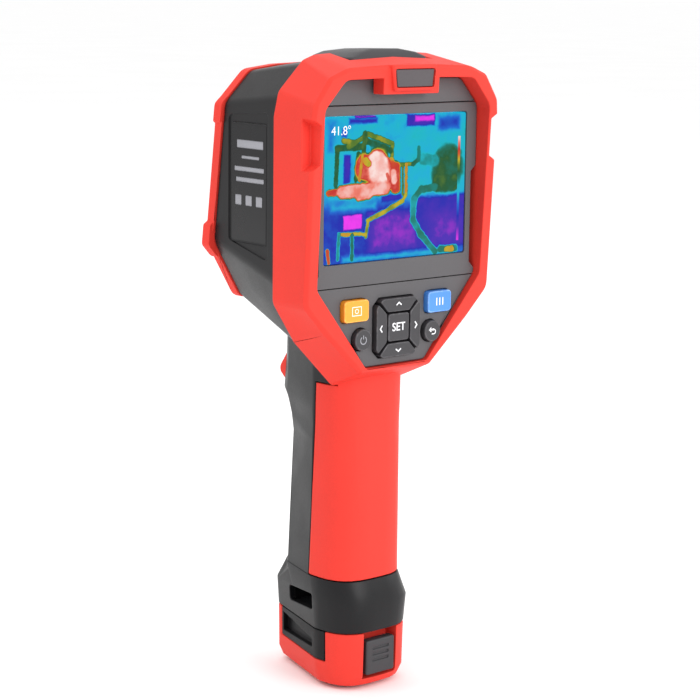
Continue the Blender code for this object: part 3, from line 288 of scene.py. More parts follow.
def moulded(name, colour, roughness, worn, wear, mottle, grain, depth, specular=0.5, coat=0.0):
    """A moulded plastic or rubber with grain, mottling and lighter edges that are partly wear and
    partly a painted highlight.
    """
    plain = {"Specular IOR Level": specular, "Coat Weight": coat}
    made, wire, shader, where = new_material(name, plain)
    # By default the edge colour is a lighter tone of the colour, standing for wear and for a
    # painted highlight.
    worn = worn or [min(1, c * 1.5 + 0.03) for c in colour]
    edge = wire.add("ShaderNodeAttribute", attribute_name="edge").outputs["Fac"]
    surface = wire.group(
        wear_and_edge_highlight(),
        {
            "Vector": where,
            "Colour": (*colour, 1),
            "Worn colour": (*worn, 1),
            "Edge": edge,
            "Roughness": roughness,
            "Mottle": mottle,
            "Wear": wear,
        },
    )
    wire.feed(shader.inputs["Base Color"], surface.outputs["Colour"])
    wire.feed(shader.inputs["Roughness"], surface.outputs["Roughness"])
    height = wire.group(moulded_grain(), {"Vector": where, "Scale": grain})
    wire.bump(shader, height.outputs["Height"], 0.35, sizes().grain_depth * depth)
    return made


def brushed(name, colour, roughness, scale):
    """A metal with a drawn grain along one axis, and slight staining."""
    made, wire, shader, where = new_material(name, {"Metallic": 1.0})
    stretched = wire.add("ShaderNodeMapping", {"Vector": where})
    stretched.inputs["Scale"].default_value = scale
    lines = wire.noise(stretched.outputs["Vector"], 1.0, 2.0)
    stain = wire.ramp(wire.noise(where, 120.0, 3.0), 0.35, 0.7)
    tone = wire.mix(stain, (*colour, 1), (*[c * 0.85 for c in colour], 1))
    wire.feed(shader.inputs["Base Color"], tone)
    wire.feed(
        shader.inputs["Roughness"], wire.ramp(lines, 0.2, 0.8, roughness - 0.08, roughness + 0.1)
    )
    wire.bump(shader, lines, 0.2, 0.02 * MM)
    return made


# The picture on the screen: x to the right and y down, heat from 0 to 1

PICTURE_WIDTH, PICTURE_HEIGHT = 4.0, 3.0
HEAT_COLOURS = [
    (0.0, (0.85, 0.03, 0.85)),
    (0.08, (0.42, 0.015, 0.62)),
    (0.15, (0.07, 0.012, 0.45)),
    (0.25, (0.0, 0.01, 0.42)),
    (0.36, (0.0, 0.13, 0.62)),
    (0.46, (0.0, 0.42, 0.66)),
    (0.54, (0.0, 0.46, 0.55)),
    (0.60, (0.0, 0.2, 0.16)),
    (0.67, (0.005, 0.09, 0.02)),
    (0.73, (0.1, 0.2, 0.01)),
    (0.78, (0.52, 0.42, 0.01)),
    (0.83, (0.62, 0.1, 0.01)),
    (0.88, (0.55, 0.02, 0.01)),
    (0.94, (0.85, 0.2, 0.14)),
    (1.0, (0.95, 0.72, 0.68)),
]
COOL_BLOCKS = [  # middle, half size, softness, heat
    ((1.0, 2.45), (1.2, 0.62), 0.22, 0.27),
    ((2.05, 2.45), (0.8, 0.45), 0.22, 0.13),
    ((3.3, 2.3), (0.72, 0.55), 0.06, 0.21),
    ((3.45, 2.45), (0.42, 0.3), 0.25, 0.14),
    ((1.04, 0.09), (0.38, 0.05), 0.06, 0.22),
    ((1.1, 0.0), (0.28, 0.02), 0.03, 0.05),
    ((2.67, 0.12), (0.4, 0.12), 0.04, 0.2),
    ((2.78, 0.08), (0.28, 0.06), 0.04, 0.03),
    ((3.5, 0.2), (0.3, 0.13), 0.12, 0.28),
    ((0.52, 0.42), (0.07, 0.16), 0.05, 0.3),
    ((0.16, 0.4), (0.09, 0.3), 0.12, 0.38),
    ((0.6, 1.07), (0.09, 0.3), 0.04, 0.22),
    ((1.86, 1.72), (0.28, 0.07), 0.05, 0.22),
    ((2.0, 2.95), (1.5, 0.06), 0.08, 0.46),
    ((0.8, 1.86), (0.62, 0.07), 0.1, 0.46),
    ((0.78, 2.17), (0.26, 0.15), 0.03, 0.0),
]
WARM_LINES = [  # from, to, radius, heat
    ((3.49, 1.1), (3.45, 1.25), 0.42, 0.66),
    ((3.2, 1.5), (3.65, 1.5), 0.16, 0.68),
    ((2.75, 0.95), (3.1, 1.0), 0.12, 0.57),
    ((1.4, 0.6), (1.62, 0.66), 0.16, 0.6),
    ((0.34, 0.65), (0.3, 1.4), 0.05, 0.66),
    ((0.34, 0.62), (1.05, 0.62), 0.06, 0.67),
    ((0.5, 0.48), (0.78, 0.52), 0.05, 0.74),
    ((0.65, 0.6), (1.17, 0.37), 0.045, 0.73),
    ((1.17, 0.37), (1.86, 0.58), 0.045, 0.74),
    ((1.86, 0.6), (1.84, 0.94), 0.04, 0.73),
    ((1.09, 0.5), (1.82, 0.72), 0.055, 0.66),
    ((1.09, 0.35), (1.05, 0.9), 0.055, 0.69),
    ((0.91, 0.77), (0.85, 1.3), 0.05, 0.66),
    ((1.9, 1.02), (2.46, 1.04), 0.035, 0.73),
    ((2.46, 1.04), (2.62, 0.95), 0.045, 0.64),
    ((2.62, 0.95), (2.62, 0.7), 0.045, 0.62),
    ((2.17, 1.04), (2.18, 1.67), 0.02, 0.73),
    ((2.27, 1.04), (2.27, 1.67), 0.032, 0.81),
    ((2.26, 1.67), (2.18, 1.81), 0.035, 0.77),
    ((2.18, 1.81), (1.66, 2.01), 0.045, 0.76),
    ((1.66, 2.01), (1.21, 2.15), 0.045, 0.76),
    ((1.21, 2.15), (1.15, 2.49), 0.035, 0.76),
    ((0.4, 2.4), (1.15, 2.44), 0.035, 0.79),
    ((0.4, 2.4), (0.38, 2.92), 0.035, 0.58),
    ((0.77, 2.45), (0.77, 2.95), 0.04, 0.62),
    ((3.11, 1.56), (2.7, 1.6), 0.07, 0.62),
    ((2.7, 1.6), (2.5, 1.78), 0.07, 0.61),
    ((2.5, 1.78), (2.48, 2.22), 0.07, 0.59),
    ((2.48, 2.22), (2.71, 2.54), 0.07, 0.59),
    ((2.71, 2.54), (3.15, 2.95), 0.07, 0.61),
    ((3.3, 2.9), (3.75, 2.92), 0.07, 0.6),
    ((3.5, 2.92), (3.66, 2.93), 0.06, 0.79),
    ((0.09, 2.72), (0.14, 2.98), 0.035, 0.85),
    ((1.0, 0.85), (1.85, 0.95), 0.06, 0.8),
    ((1.1, 1.05), (1.75, 1.25), 0.26, 0.89),
    ((1.95, 1.1), (1.97, 1.5), 0.13, 0.88),
    ((1.03, 0.82), (0.95, 1.3), 0.035, 0.79),
    ((1.45, 0.98), (1.5, 1.18), 0.27, 0.99),
    ((1.12, 0.92), (1.2, 0.98), 0.07, 0.78),
    ((0.12, 1.53), (0.4, 1.53), 0.06, 0.87),
    ((0.48, 1.54), (1.68, 1.5), 0.13, 0.955),
    ((0.95, 1.6), (1.2, 1.58), 0.13, 0.95),
    ((1.9, 1.2), (1.93, 1.35), 0.07, 0.97),
    ((1.72, 1.22), (1.76, 1.3), 0.03, 0.9),
]
SCALE_BAR = ((3.81, 0.5), (3.81, 2.75), 0.035)  # from, to, half width


def warm_line():
    """Raises or lowers the heat along a round-ended line."""
    tree, wire, source, sink = group_tree(
        "warm line",
        [
            ("Vector", "NodeSocketVector", None),
            ("Heat", "NodeSocketFloat", 0.5),
            ("From", "NodeSocketVector", (0, 0, 0)),
            ("Along", "NodeSocketVector", (1, 0, 0)),
            ("Radius", "NodeSocketFloat", 0.05),
            ("New heat", "NodeSocketFloat", 0.5),
        ],
        [("Heat", "NodeSocketFloat")],
    )
    out = source.outputs
    away = wire.vector("SUBTRACT", out["Vector"], out["From"])
    along = out["Along"]
    reach = wire.math(
        "DIVIDE",
        wire.vector("DOT_PRODUCT", away, along, "Value"),
        wire.math("ADD", wire.vector("DOT_PRODUCT", along, along, "Value"), 1e-6),
        clamp=True,
    )
    step = wire.add("ShaderNodeVectorMath", {0: along}, operation="SCALE")
    wire.feed(step.inputs["Scale"], reach)
    distance = wire.vector("DISTANCE", away, step.outputs[0], "Value")
    soft = wire.math("MULTIPLY", out["Radius"], 0.3)
    mask = wire.ramp(
        distance,
        wire.math("SUBTRACT", out["Radius"], wire.math("MULTIPLY", soft, 0.5)),
        wire.math("ADD", out["Radius"], wire.math("ADD", soft, 0.015)),
        1.0,
        0.0,
    )
    blend = wire.add("ShaderNodeMix", {0: mask, 2: out["Heat"], 3: out["New heat"]})
    wire.feed(sink.inputs["Heat"], blend.outputs[0])
    return tree


def cool_block():
    """Sets the heat inside a soft-edged rectangle."""
    tree, wire, source, sink = group_tree(
        "cool block",
        [
            ("Vector", "NodeSocketVector", None),
            ("Heat", "NodeSocketFloat", 0.5),
            ("Middle", "NodeSocketVector", (0, 0, 0)),
            ("Half size", "NodeSocketVector", (1, 1, 0)),
            ("Softness", "NodeSocketFloat", 0.05),
            ("New heat", "NodeSocketFloat", 0.5),
        ],
        [("Heat", "NodeSocketFloat")],
    )
    out = source.outputs
    away = wire.vector("ABSOLUTE", wire.vector("SUBTRACT", out["Vector"], out["Middle"]))
    parts = wire.add("ShaderNodeSeparateXYZ", {0: wire.vector("SUBTRACT", away, out["Half size"])})
    outside = wire.math("MAXIMUM", parts.outputs["X"], parts.outputs["Y"])
    soft = out["Softness"]
    mask = wire.ramp(outside, wire.math("MULTIPLY", soft, -1.0), soft, 1.0, 0.0)
    blend = wire.add("ShaderNodeMix", {0: mask, 2: out["Heat"], 3: out["New heat"]})
    wire.feed(sink.inputs["Heat"], blend.outputs[0])
    return tree


def screen_picture():
    """The lit picture behind the screen glass: warm pipework and a machine in false colour."""
    plain = {"Emission Strength": 1.0, "Specular IOR Level": 0.12}
    made, wire, shader, where = new_material("screen picture", plain)
    low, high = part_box("display_glass")
    width = high.x - low.x
    placed = wire.add("ShaderNodeMapping", {"Vector": where}, vector_type="POINT")
    scale = PICTURE_WIDTH / width
    placed.inputs["Scale"].default_value = (scale, 0, scale)
    parts = wire.add("ShaderNodeSeparateXYZ", {0: placed.outputs[0]})
    middle_z = (low.z + high.z) / 2 * scale
    across = wire.math("ADD", parts.outputs["X"], PICTURE_WIDTH / 2)
    down = wire.math("SUBTRACT", PICTURE_HEIGHT / 2 + middle_z, parts.outputs["Z"])
    flat = wire.add("ShaderNodeCombineXYZ", {"X": across, "Y": down}).outputs[0]
    point = flat
    for scale, detail, reach in ((1.6, 4.0, 0.07), (9.0, 3.0, 0.06)):
        drift = wire.noise(flat, scale, detail, 0.6, out="Color")
        nudge = wire.vector("SUBTRACT", drift, (0.5, 0.5, 0.5))
        point = wire.vector("ADD", point, wire.vector("MULTIPLY", nudge, (reach, reach, reach)))
    clouds = wire.ramp(wire.noise(flat, 1.3, 4.0, 0.55), 0.25, 0.75, -0.07, 0.07)
    heat = wire.math("ADD", wire.ramp(down, 1.5, 2.1, 0.49, 0.36), clouds)
    shapes = []
    tree = cool_block()
    for middle, half, soft, value in COOL_BLOCKS:
        place = {"Middle": (*middle, 0), "Half size": (*half, 0), "Softness": soft}
        shapes.append((tree, place, value))
    tree = warm_line()
    for start, end, radius, value in WARM_LINES:
        along = (end[0] - start[0], end[1] - start[1], 0)
        shapes.append((tree, {"From": (*start, 0), "Along": along, "Radius": radius}, value))
    for tree, place, value in shapes:
        place.update({"Vector": point, "Heat": heat, "New heat": value})
        heat = wire.group(tree, place).outputs[0]
    mottle = wire.ramp(wire.noise(flat, 3.5, 4.0, 0.5), 0.3, 0.7, -0.022, 0.022)
    heat = wire.math("ADD", heat, mottle)
    start, end, radius = SCALE_BAR
    step = wire.ramp(down, start[1], end[1], 1.0, 0.02, smooth=False)
    beside = wire.math("ABSOLUTE", wire.math("SUBTRACT", across, start[0]))
    inside = wire.math("LESS_THAN", beside, radius)
    from_middle = wire.math("ABSOLUTE", wire.math("SUBTRACT", down, (start[1] + end[1]) / 2))
    within = wire.math("LESS_THAN", from_middle, (end[1] - start[1]) / 2)
    bar = wire.math("MULTIPLY", inside, within)
    blend = wire.add("ShaderNodeMix", {0: bar, 2: heat, 3: step})
    colours_node = wire.add("ShaderNodeValToRGB", {0: blend.outputs[0]})
    stops = colours_node.color_ramp.elements
    while len(stops) < len(HEAT_COLOURS):
        stops.new(0.5)
    for stop, (position, colour) in zip(stops, HEAT_COLOURS):
        stop.position = position
        stop.color = (*colour, 1)
    wire.feed(shader.inputs["Emission Color"], colours_node.outputs[0])
    shader.inputs["Base Color"].default_value = (0.004, 0.005, 0.006, 1)
    smears = wire.ramp(wire.noise(where, 60.0, 3.0), 0.3, 0.8, 0.1, 0.2)
    wire.feed(shader.inputs["Roughness"], smears)
    return made


# Finishes


def circuit_board(name):
    """Green solder mask over copper tracks, with gold pads."""
    made, wire, shader, where = new_material(name)
    fine = wire.add(
        "ShaderNodeTexBrick",
        {"Vector": where, "Scale": 160.0, "Mortar Size": 0.06, "Mortar Smooth": 0.2},
    )
    tracks = wire.ramp(fine.outputs["Fac"], 0.3, 0.7)
    base = wire.mix(tracks, (0.008, 0.09, 0.03, 1), (0.03, 0.2, 0.07, 1))
    cells = wire.add("ShaderNodeTexVoronoi", {"Vector": where, "Scale": 420.0}, feature="F1")
    pads = wire.ramp(cells.outputs["Distance"], 0.14, 0.18, 1.0, 0.0)
    colour = wire.mix(pads, base, (0.72, 0.52, 0.22, 1))
    wire.feed(shader.inputs["Base Color"], colour)
    wire.feed(shader.inputs["Metallic"], wire.math("MULTIPLY", pads, 0.9))
    wire.feed(shader.inputs["Roughness"], wire.ramp(pads, 0.0, 1.0, 0.38, 0.28))
    wire.bump(shader, wire.math("ADD", tracks, pads), 0.5, 0.03 * MM)
    return made


def clear_window(name, tint, transmission):
    """A clear or tinted window with a faint smear."""
    plain = {"Transmission Weight": transmission, "IOR": 1.5}
    made, wire, shader, where = new_material(name, plain)
    smear = wire.noise(where, 240.0, 3.0, 0.6)
    tone = wire.mix(smear, (*tint, 1), (*[c * 0.9 for c in tint], 1))
    wire.feed(shader.inputs["Base Color"], tone)
    wire.feed(shader.inputs["Roughness"], wire.ramp(smear, 0.3, 0.9, 0.03, 0.09))
    return made


def coated_lens(name):
    """A dark infrared lens, with a coating that is violet in the middle and amber at its rim."""
    made, wire, shader, where = new_material(name, {"Metallic": 0.85, "Coat Weight": 1.0})
    low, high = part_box("ir_lens")
    reach, spot = (high.x - low.x) / 2, (low + high) / 2
    centred = wire.add("ShaderNodeMapping", {"Vector": where})
    centred.inputs["Location"].default_value = (-spot.x / reach, 0, -spot.z / reach)
    centred.inputs["Scale"].default_value = (1 / reach, 0, 1 / reach)
    out = wire.vector("LENGTH", centred.outputs["Vector"], out="Value")
    tone = wire.mix(wire.ramp(out, 0.35, 1.0), (0.055, 0.04, 0.09, 1), (0.3, 0.12, 0.06, 1))
    wire.feed(shader.inputs["Base Color"], tone)
    smear = wire.noise(where, 150.0, 3.0, 0.6)
    wire.feed(shader.inputs["Roughness"], wire.ramp(smear, 0.3, 0.9, 0.07, 0.15))
    return made


FINISHES = {}
MOULDINGS = {  # colour, roughness, edge colour (wear and painted highlight), amount of edge wear and painted highlight, mottle, grain, depth of grain, specular
    "black rubber": (
        (0.0065, 0.0062, 0.007), 0.5, (0.035, 0.035, 0.04), 0.4, 0.08, 1300.0, 1.4, 0.2
    ),
    "dark inlay": ((0.085, 0.074, 0.079), 0.35, (0.16, 0.14, 0.15), 0.3, 0.04, 2600.0, 0.6, 0.3),
    "legend white": ((0.82, 0.82, 0.84), 0.5, None, 0.0, 0.06, 3000.0, 0.3),
    "legend pale": ((0.9, 0.86, 0.8), 0.5, None, 0.0, 0.05, 3000.0, 0.3),
    "legend grey": ((0.3, 0.3, 0.33), 0.5, None, 0.0, 0.06, 3000.0, 0.3),
    "label film": ((0.009, 0.0088, 0.01), 0.3, (0.03, 0.03, 0.035), 0.3, 0.05, 2800.0, 0.4, 0.25),
    "foam seal": ((0.015, 0.015, 0.016), 0.85, None, 0.0, 0.15, 900.0, 2.0),
    "inner plastic": ((0.04, 0.042, 0.05), 0.5, None, 0.2, 0.06, 1500.0, 0.8),
}
PAINTED = {  # the setting that holds the colour, then the same values as above
    "red rubber": ("rubber", 0.52, (0.95, 0.11, 0.075), 0.4, 0.035, 1500.0, 1.2, 0.18),
    "black shell": ("shell", 0.38, (0.05, 0.05, 0.056), 0.5, 0.1, 1900.0, 1.0, 0.25),
    "grey surround": ("surround", 0.46, (0.24, 0.23, 0.24), 0.35, 0.04, 2200.0, 0.9, 0.45),
    "grey rubber": ("keys", 0.48, (0.13, 0.125, 0.135), 0.6, 0.05, 2400.0, 0.8),
    "yellow key": ("photo_key", 0.4, (1.0, 0.62, 0.15), 0.5, 0.03, 2400.0, 0.7),
    "blue key": ("mode_key", 0.4, (0.42, 0.65, 0.95), 0.5, 0.03, 2400.0, 0.7),
}
METALS = {  # colour, roughness, scale of the drawn grain along each axis
    "steel": ((0.56, 0.56, 0.58), 0.3, (200, 4000, 4000)),
    "spring steel": ((0.42, 0.42, 0.44), 0.26, (3000, 3000, 3000)),
    "zinc plate": ((0.66, 0.66, 0.67), 0.36, (160, 3000, 3000)),
    "brass": ((0.78, 0.55, 0.23), 0.28, (2600, 2600, 200)),
    "anodised ring": ((0.045, 0.046, 0.052), 0.3, (900, 160, 900)),
}


def make_finishes():
    """Every finish by its plain name."""
    for name, values in MOULDINGS.items():
        FINISHES[name] = moulded(name, *values)
    for name, (setting, *values) in PAINTED.items():
        FINISHES[name] = moulded(name, tuple(getattr(colours(), setting)), *values)
    for name, values in METALS.items():
        FINISHES[name] = brushed(name, *values)
    FINISHES["cell wrap"] = moulded(
        "cell wrap", (0.02, 0.16, 0.4), 0.25, (0.1, 0.3, 0.6), 0.2, 0.04, 700.0, 0.4, coat=0.5
    )
    FINISHES["screen picture"] = screen_picture()
    FINISHES["board"] = circuit_board("board")
    FINISHES["clear window"] = clear_window("clear window", (0.86, 0.9, 0.92), 0.85)
    FINISHES["dark window"] = clear_window("dark window", (0.06, 0.07, 0.1), 0.5)
    FINISHES["coated lens"] = coated_lens("coated lens")


# Shaping helpers


def finished_piece(name, bm, body, finish, replaces=(), weighted=True):
    """Makes the object of a shaped mesh, hangs it on its body's empty, and hides the frame nodes
    that it stands for.
    """
    mesh = bpy.data.meshes.new(name)
    bm.to_mesh(mesh)
    bm.free()
    mesh.shade_smooth()
    mesh.set_sharp_from_angle(angle=SMOOTH_ANGLE)
    mesh.materials.append(FINISHES[finish])
    piece = bpy.data.objects.new(name, mesh)
    bpy.context.scene.collection.objects.link(piece)
    if weighted:
        modifier = piece.modifiers.new("even shading", "WEIGHTED_NORMAL")
        modifier.keep_sharp = True
    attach(piece, body)
    if replaces:
        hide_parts(*replaces)
    return piece


def merged_copy(node):
    """The frame node's shape with its doubled points and needless facets merged."""
    bm = bmesh.new()
    bm.from_mesh(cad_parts[node].data)
    bmesh.ops.remove_doubles(bm, verts=bm.verts, dist=DOUBLED * MM)
    bmesh.ops.dissolve_limit(
        bm, angle_limit=math.radians(FLAT_ANGLE), verts=bm.verts, edges=bm.edges, delimit=set()
    )
    bmesh.ops.dissolve_degenerate(bm, edges=bm.edges, dist=SHORT_EDGE * MM)
    return bm


def turn_between(one, other, vert):
    """How far a line bends at a point as it goes on from one edge to the other."""
    before = vert.co - one.other_vert(vert).co
    after = other.other_vert(vert).co - vert.co
    return before.angle(after, 0.0)


def edge_room(edge, vert, sharp):
    """The widest rounding that an edge has room for beside one of its ends."""
    room = math.inf
    for other in vert.link_edges:
        if other is edge:
            continue
        turn = turn_between(edge, other, vert)
        reach = other.calc_length()
        if other in sharp and turn < GENTLE_TURN:
            reach = min(reach, edge.calc_length()) / max(0.01, math.tan(turn / 2))
        room = min(room, ROOM_SHARE * reach)
    return room


def rounding_widths(bm, width):
    """Each sharp edge's rounding width, the same along each line of edges."""
    sharp = {e for e in bm.edges if len(e.link_faces) == 2 and e.calc_face_angle() > SHARP_ANGLE}
    lines, waiting = [], set(sharp)
    for start in bm.edges:
        if start not in waiting:
            continue
        waiting.discard(start)
        line, open_ends = [], [start]
        while open_ends:
            edge = open_ends.pop()
            line.append(edge)
            for vert in edge.verts:
                for other in vert.link_edges:
                    if other in waiting and turn_between(edge, other, vert) < GENTLE_TURN:
                        waiting.discard(other)
                        open_ends.append(other)
        lines.append(line)
    widths = {}
    for line in lines:
        room = min(edge_room(edge, vert, sharp) for edge in line for vert in edge.verts)
        for edge in line:
            widths[edge] = min(width, room)
    return widths


def with_rounded_edges(bm, width, segments):
    """The mesh with its sharp edges rounded, and the new faces marked for the lighter edge colour,
    which is partly wear and partly a painted highlight.
    """
    weight = bm.edges.layers.float.new("bevel_weight_edge")
    for edge, room in rounding_widths(bm, width).items():
        edge[weight] = room / width
    mesh = bpy.data.meshes.new("rounding")
    bm.to_mesh(mesh)
    bm.free()
    holder = bpy.data.objects.new("rounding", mesh)
    bpy.context.scene.collection.objects.link(holder)
    modifier = holder.modifiers.new("rounding", "BEVEL")
    modifier.limit_method = "WEIGHT"
    modifier.width = width
    modifier.segments = segments
    modifier.use_clamp_overlap = False
    modifier.material = 1
    graph = bpy.context.evaluated_depsgraph_get()
    rounded = bpy.data.meshes.new_from_object(holder.evaluated_get(graph))
    bpy.data.objects.remove(holder)
    bpy.data.meshes.remove(mesh)
    made = bmesh.new()
    made.from_mesh(rounded)
    bpy.data.meshes.remove(rounded)
    # The rounding's faces are marked for the lighter edge colour: wear and a painted highlight.
    edge_mark = made.faces.layers.float.new("edge")
    for face in made.faces:
        face[edge_mark] = float(face.material_index == 1)
        face.material_index = 0
    return made


def softened(name, node, body, finish, width=None, segments=3):
    """A frame node's shape with rounded edges, as wide as the setting or a width in millimetres."""
    reach = sizes().edge_round if width is None else width * MM
    bm = with_rounded_edges(merged_copy(node), reach, segments)
    return finished_piece(name, bm, body, finish, (node,))


def turned_piece(name, outline, finish, node, steps):
    """Turns an outline of (radius, depth) points, in millimetres, in place of a round node."""
    bm = bmesh.new()
    points = [bm.verts.new(Vector((r, y, 0)) * MM) for r, y in outline]
    edges = [bm.edges.new(pair) for pair in zip(points, points[1:])]
    if outline[0][0] > 0 and outline[-1][0] > 0:
        edges.append(bm.edges.new((points[-1], points[0])))
    bmesh.ops.spin(
        bm, geom=points + edges, cent=(0, 0, 0), axis=(0, 1, 0), angle=math.tau, steps=steps,
        use_merge=True,
    )
    bmesh.ops.remove_doubles(bm, verts=bm.verts, dist=0.005 * MM)
    bmesh.ops.recalc_face_normals(bm, faces=bm.faces)
    spot = middle_of(node)
    bmesh.ops.translate(bm, verts=bm.verts, vec=(spot.x, 0, spot.z))
    return finished_piece(name, bm, "housing", finish, (node,))


def add_stroke(bm, points, width, near, far):
    """A flat-faced line along points (x, z), from depth near to depth far, in millimetres."""
    spots = [Vector(p) for p in points]
    directions = [(b - a).normalized() for a, b in zip(spots, spots[1:])]
    offsets = []
    for i in range(len(spots)):
        before, after = directions[max(i - 1, 0)], directions[min(i, len(directions) - 1)]
        across = (before + after).normalized()
        reach = width / 2 / max(0.5, across.dot(after))
        offsets.append(Vector((-across.y, across.x)) * reach)
    ends = (spots[0] - offsets[0], spots[0] + offsets[0])
    pair = [bm.verts.new(Vector((p.x, near, p.y)) * MM) for p in ends]
    rail = bm.edges.new(pair)
    faces = []
    for spot, offset in zip(spots[1:], offsets[1:]):
        grown = bmesh.ops.extrude_edge_only(bm, edges=[rail])["geom"]
        new_rail = next(e for e in grown if isinstance(e, bmesh.types.BMEdge))
        faces += [f for f in grown if isinstance(f, bmesh.types.BMFace)]
        ends = sorted(new_rail.verts, key=lambda v: (v.co - rail.verts[0].co).length)
        for vert, target in zip(ends, (rail.verts[0], rail.verts[1])):
            side = -1 if target is pair[0] else 1
            place = spot + offset * side
            vert.co = Vector((place.x, near, place.y)) * MM
        pair = [ends[0], ends[1]] if rail.verts[0] is pair[0] else [ends[1], ends[0]]
        rail = new_rail
    carried_back(bm, faces, (far - near) * MM)


def arc_points(middle, radius, start, end, steps=16):
    """Points (x, z) along an arc between two angles in degrees."""
    found = []
    for i in range(steps + 1):
        angle = math.radians(start + (end - start) * i / steps)
        found.append((middle[0] + radius * math.cos(angle), middle[1] + radius * math.sin(angle)))
    return found


def rounded(bm, geom, width, segments, affect="EDGES", clamp=False):
    """Bevels edges or corners to a width in millimetres, and gives the new faces."""
    return bmesh.ops.bevel(
        bm, geom=geom, offset=width * MM, affect=affect, segments=segments, profile=0.5,
        material=-1, clamp_overlap=clamp,
    )["faces"]


def carried_back(bm, faces, depth):
    """Gives flat faces a thickness along the depth axis."""
    grown = bmesh.ops.extrude_face_region(bm, geom=faces, use_keep_orig=True)["geom"]
    moved = [v for v in grown if isinstance(v, bmesh.types.BMVert)]
    bmesh.ops.translate(bm, verts=moved, vec=(0, depth, 0))


def add_block(bm, low, high):
    """A block between two corners in millimetres."""
    cube = bmesh.ops.create_cube(bm, size=1.0)["verts"]
    size = Vector(high) - Vector(low)
    middle = (Vector(high) + Vector(low)) / 2
    bmesh.ops.scale(bm, verts=cube, vec=size * MM)
    bmesh.ops.translate(bm, verts=cube, vec=middle * MM)


def word_piece(name, curve, place, body):
    """Stands a text curve up, facing the user, and makes it a white mesh."""
    text = bpy.data.objects.new(name, curve)
    mesh = bpy.data.meshes.new_from_object(text)
    bpy.data.objects.remove(text)
    mesh.transform(Matrix.Translation(place) @ Matrix.Rotation(math.radians(90), 4, "X"))
    mesh.materials.clear()
    mesh.materials.append(FINISHES["legend white"])
    word = bpy.data.objects.new(name, mesh)
    bpy.context.scene.collection.objects.link(word)
    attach(word, body)


def text_curve(words, size, extrude):
    curve = bpy.data.curves.new("words", "FONT")
    curve.body = words
    curve.size = size * MM
    curve.extrude = extrude * MM
    return curve


def middle_of(node):
    low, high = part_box(node)
    return (low + high) / 2


# Pieces


def make_rubber():
    """The red rubber frame with its grip, and the rubber ring round the front."""
    softened("rubber_frame", "rear_bumper", "housing", "red rubber")
    softened("rubber_front_ring", "front_bumper", "housing", "red rubber")


def make_housing():
    """The black shells of the head and the grip, and the front panel."""
    softened("head_housing", "head_shell", "housing", "black shell", 0.5)
    softened("grip_housing", "handle_shell", "housing", "black shell")
    softened("front_panel", "front_plate", "housing", "black shell", 0.35)


def make_surround():
    """The grey mouldings round the screen and keys, and the window in the frame's lug."""
    softened("screen_surround", "screen_bezel", "housing", "grey surround", 0.3)
    softened("key_surround", "keypad_panel", "housing", "grey surround", 0.3)
    softened("brow_trim", "top_trim", "housing", "grey surround", 0.3)
    low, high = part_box("lug_window")
    bm = bmesh.new()
    draw_in = 0.8 * MM  # the window is narrower at its foot
    corners = [
        (low.x, high.z), (high.x, high.z), (high.x - draw_in, low.z), (low.x + draw_in, low.z)
    ]
    face = bm.faces.new([bm.verts.new((x, low.y, z)) for x, z in corners])
    carried_back(bm, [face], high.y - low.y)
    bmesh.ops.recalc_face_normals(bm, faces=bm.faces)
    rounded(bm, bm.edges[:], 0.35, 3)
    finished_piece("lug_inset", bm, "housing", "dark inlay", ("lug_window",))


def make_screen():
    """The screen glass over its lit picture, and the reading at its corner."""
    softened("screen_glass", "display_glass", "housing", "screen picture", 0.15, 2)
    low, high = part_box("display_glass")
    curve = text_curve("41.8\N{DEGREE SIGN}", 4.6, 0.02)
    place = Vector((low.x + 3.0 * MM, low.y - 0.005 * MM, high.z - 6.6 * MM))
    word_piece("screen_reading", curve, place, "housing")


def key_outline(u, v):
    """The four corners of a key, from half its width and half its height."""
    return [(-u, -v), (u, -v), (u, v), (-u, v)]


ARROW_OUTLINE = [(-9.3, 10.2), (-7.8, 11.2), (7.8, 11.2), (9.3, 10.2), (5.4, 6.0), (-5.4, 6.0)]
KEYPAD_MIDDLE = Vector((0, 144.1))
SOFT_KEY_HALF = (6.1, 4.1)  # half the width and height of the two coloured keys
ROUND_KEY_RADIUS = 4.1
SET_KEY_HALF = (5.3, 5.3)
KEY_RIM = 0.5  # width of the rounding round a key's top
LEGEND_LEVEL = 0.4  # of the dish's depth, where a legend's face stands


def key_outlines():
    """Each key's outline (x, z) about its own middle, that middle, and its corner radius."""
    outlines = {}
    for node in ("photo_key", "mode_key"):
        spot = middle_of(node) / MM
        outlines[node] = (key_outline(*SOFT_KEY_HALF), Vector((spot.x, spot.z)), 1.5)
    for node in ("power_key", "return_key"):
        spot = middle_of(node) / MM
        ring = arc_points((0, 0), ROUND_KEY_RADIUS, 0, 360, 48)[:-1]
        outlines[node] = (ring, Vector((spot.x, spot.z)), 0)
    outlines["set_key"] = (key_outline(*SET_KEY_HALF), KEYPAD_MIDDLE, 1.1)
    arrow = ARROW_OUTLINE
    for node in ("up_key", "right_key", "down_key", "left_key"):
        outlines[node] = (arrow, KEYPAD_MIDDLE, 0.5)
        arrow = [(v, -u) for u, v in arrow]
    return outlines


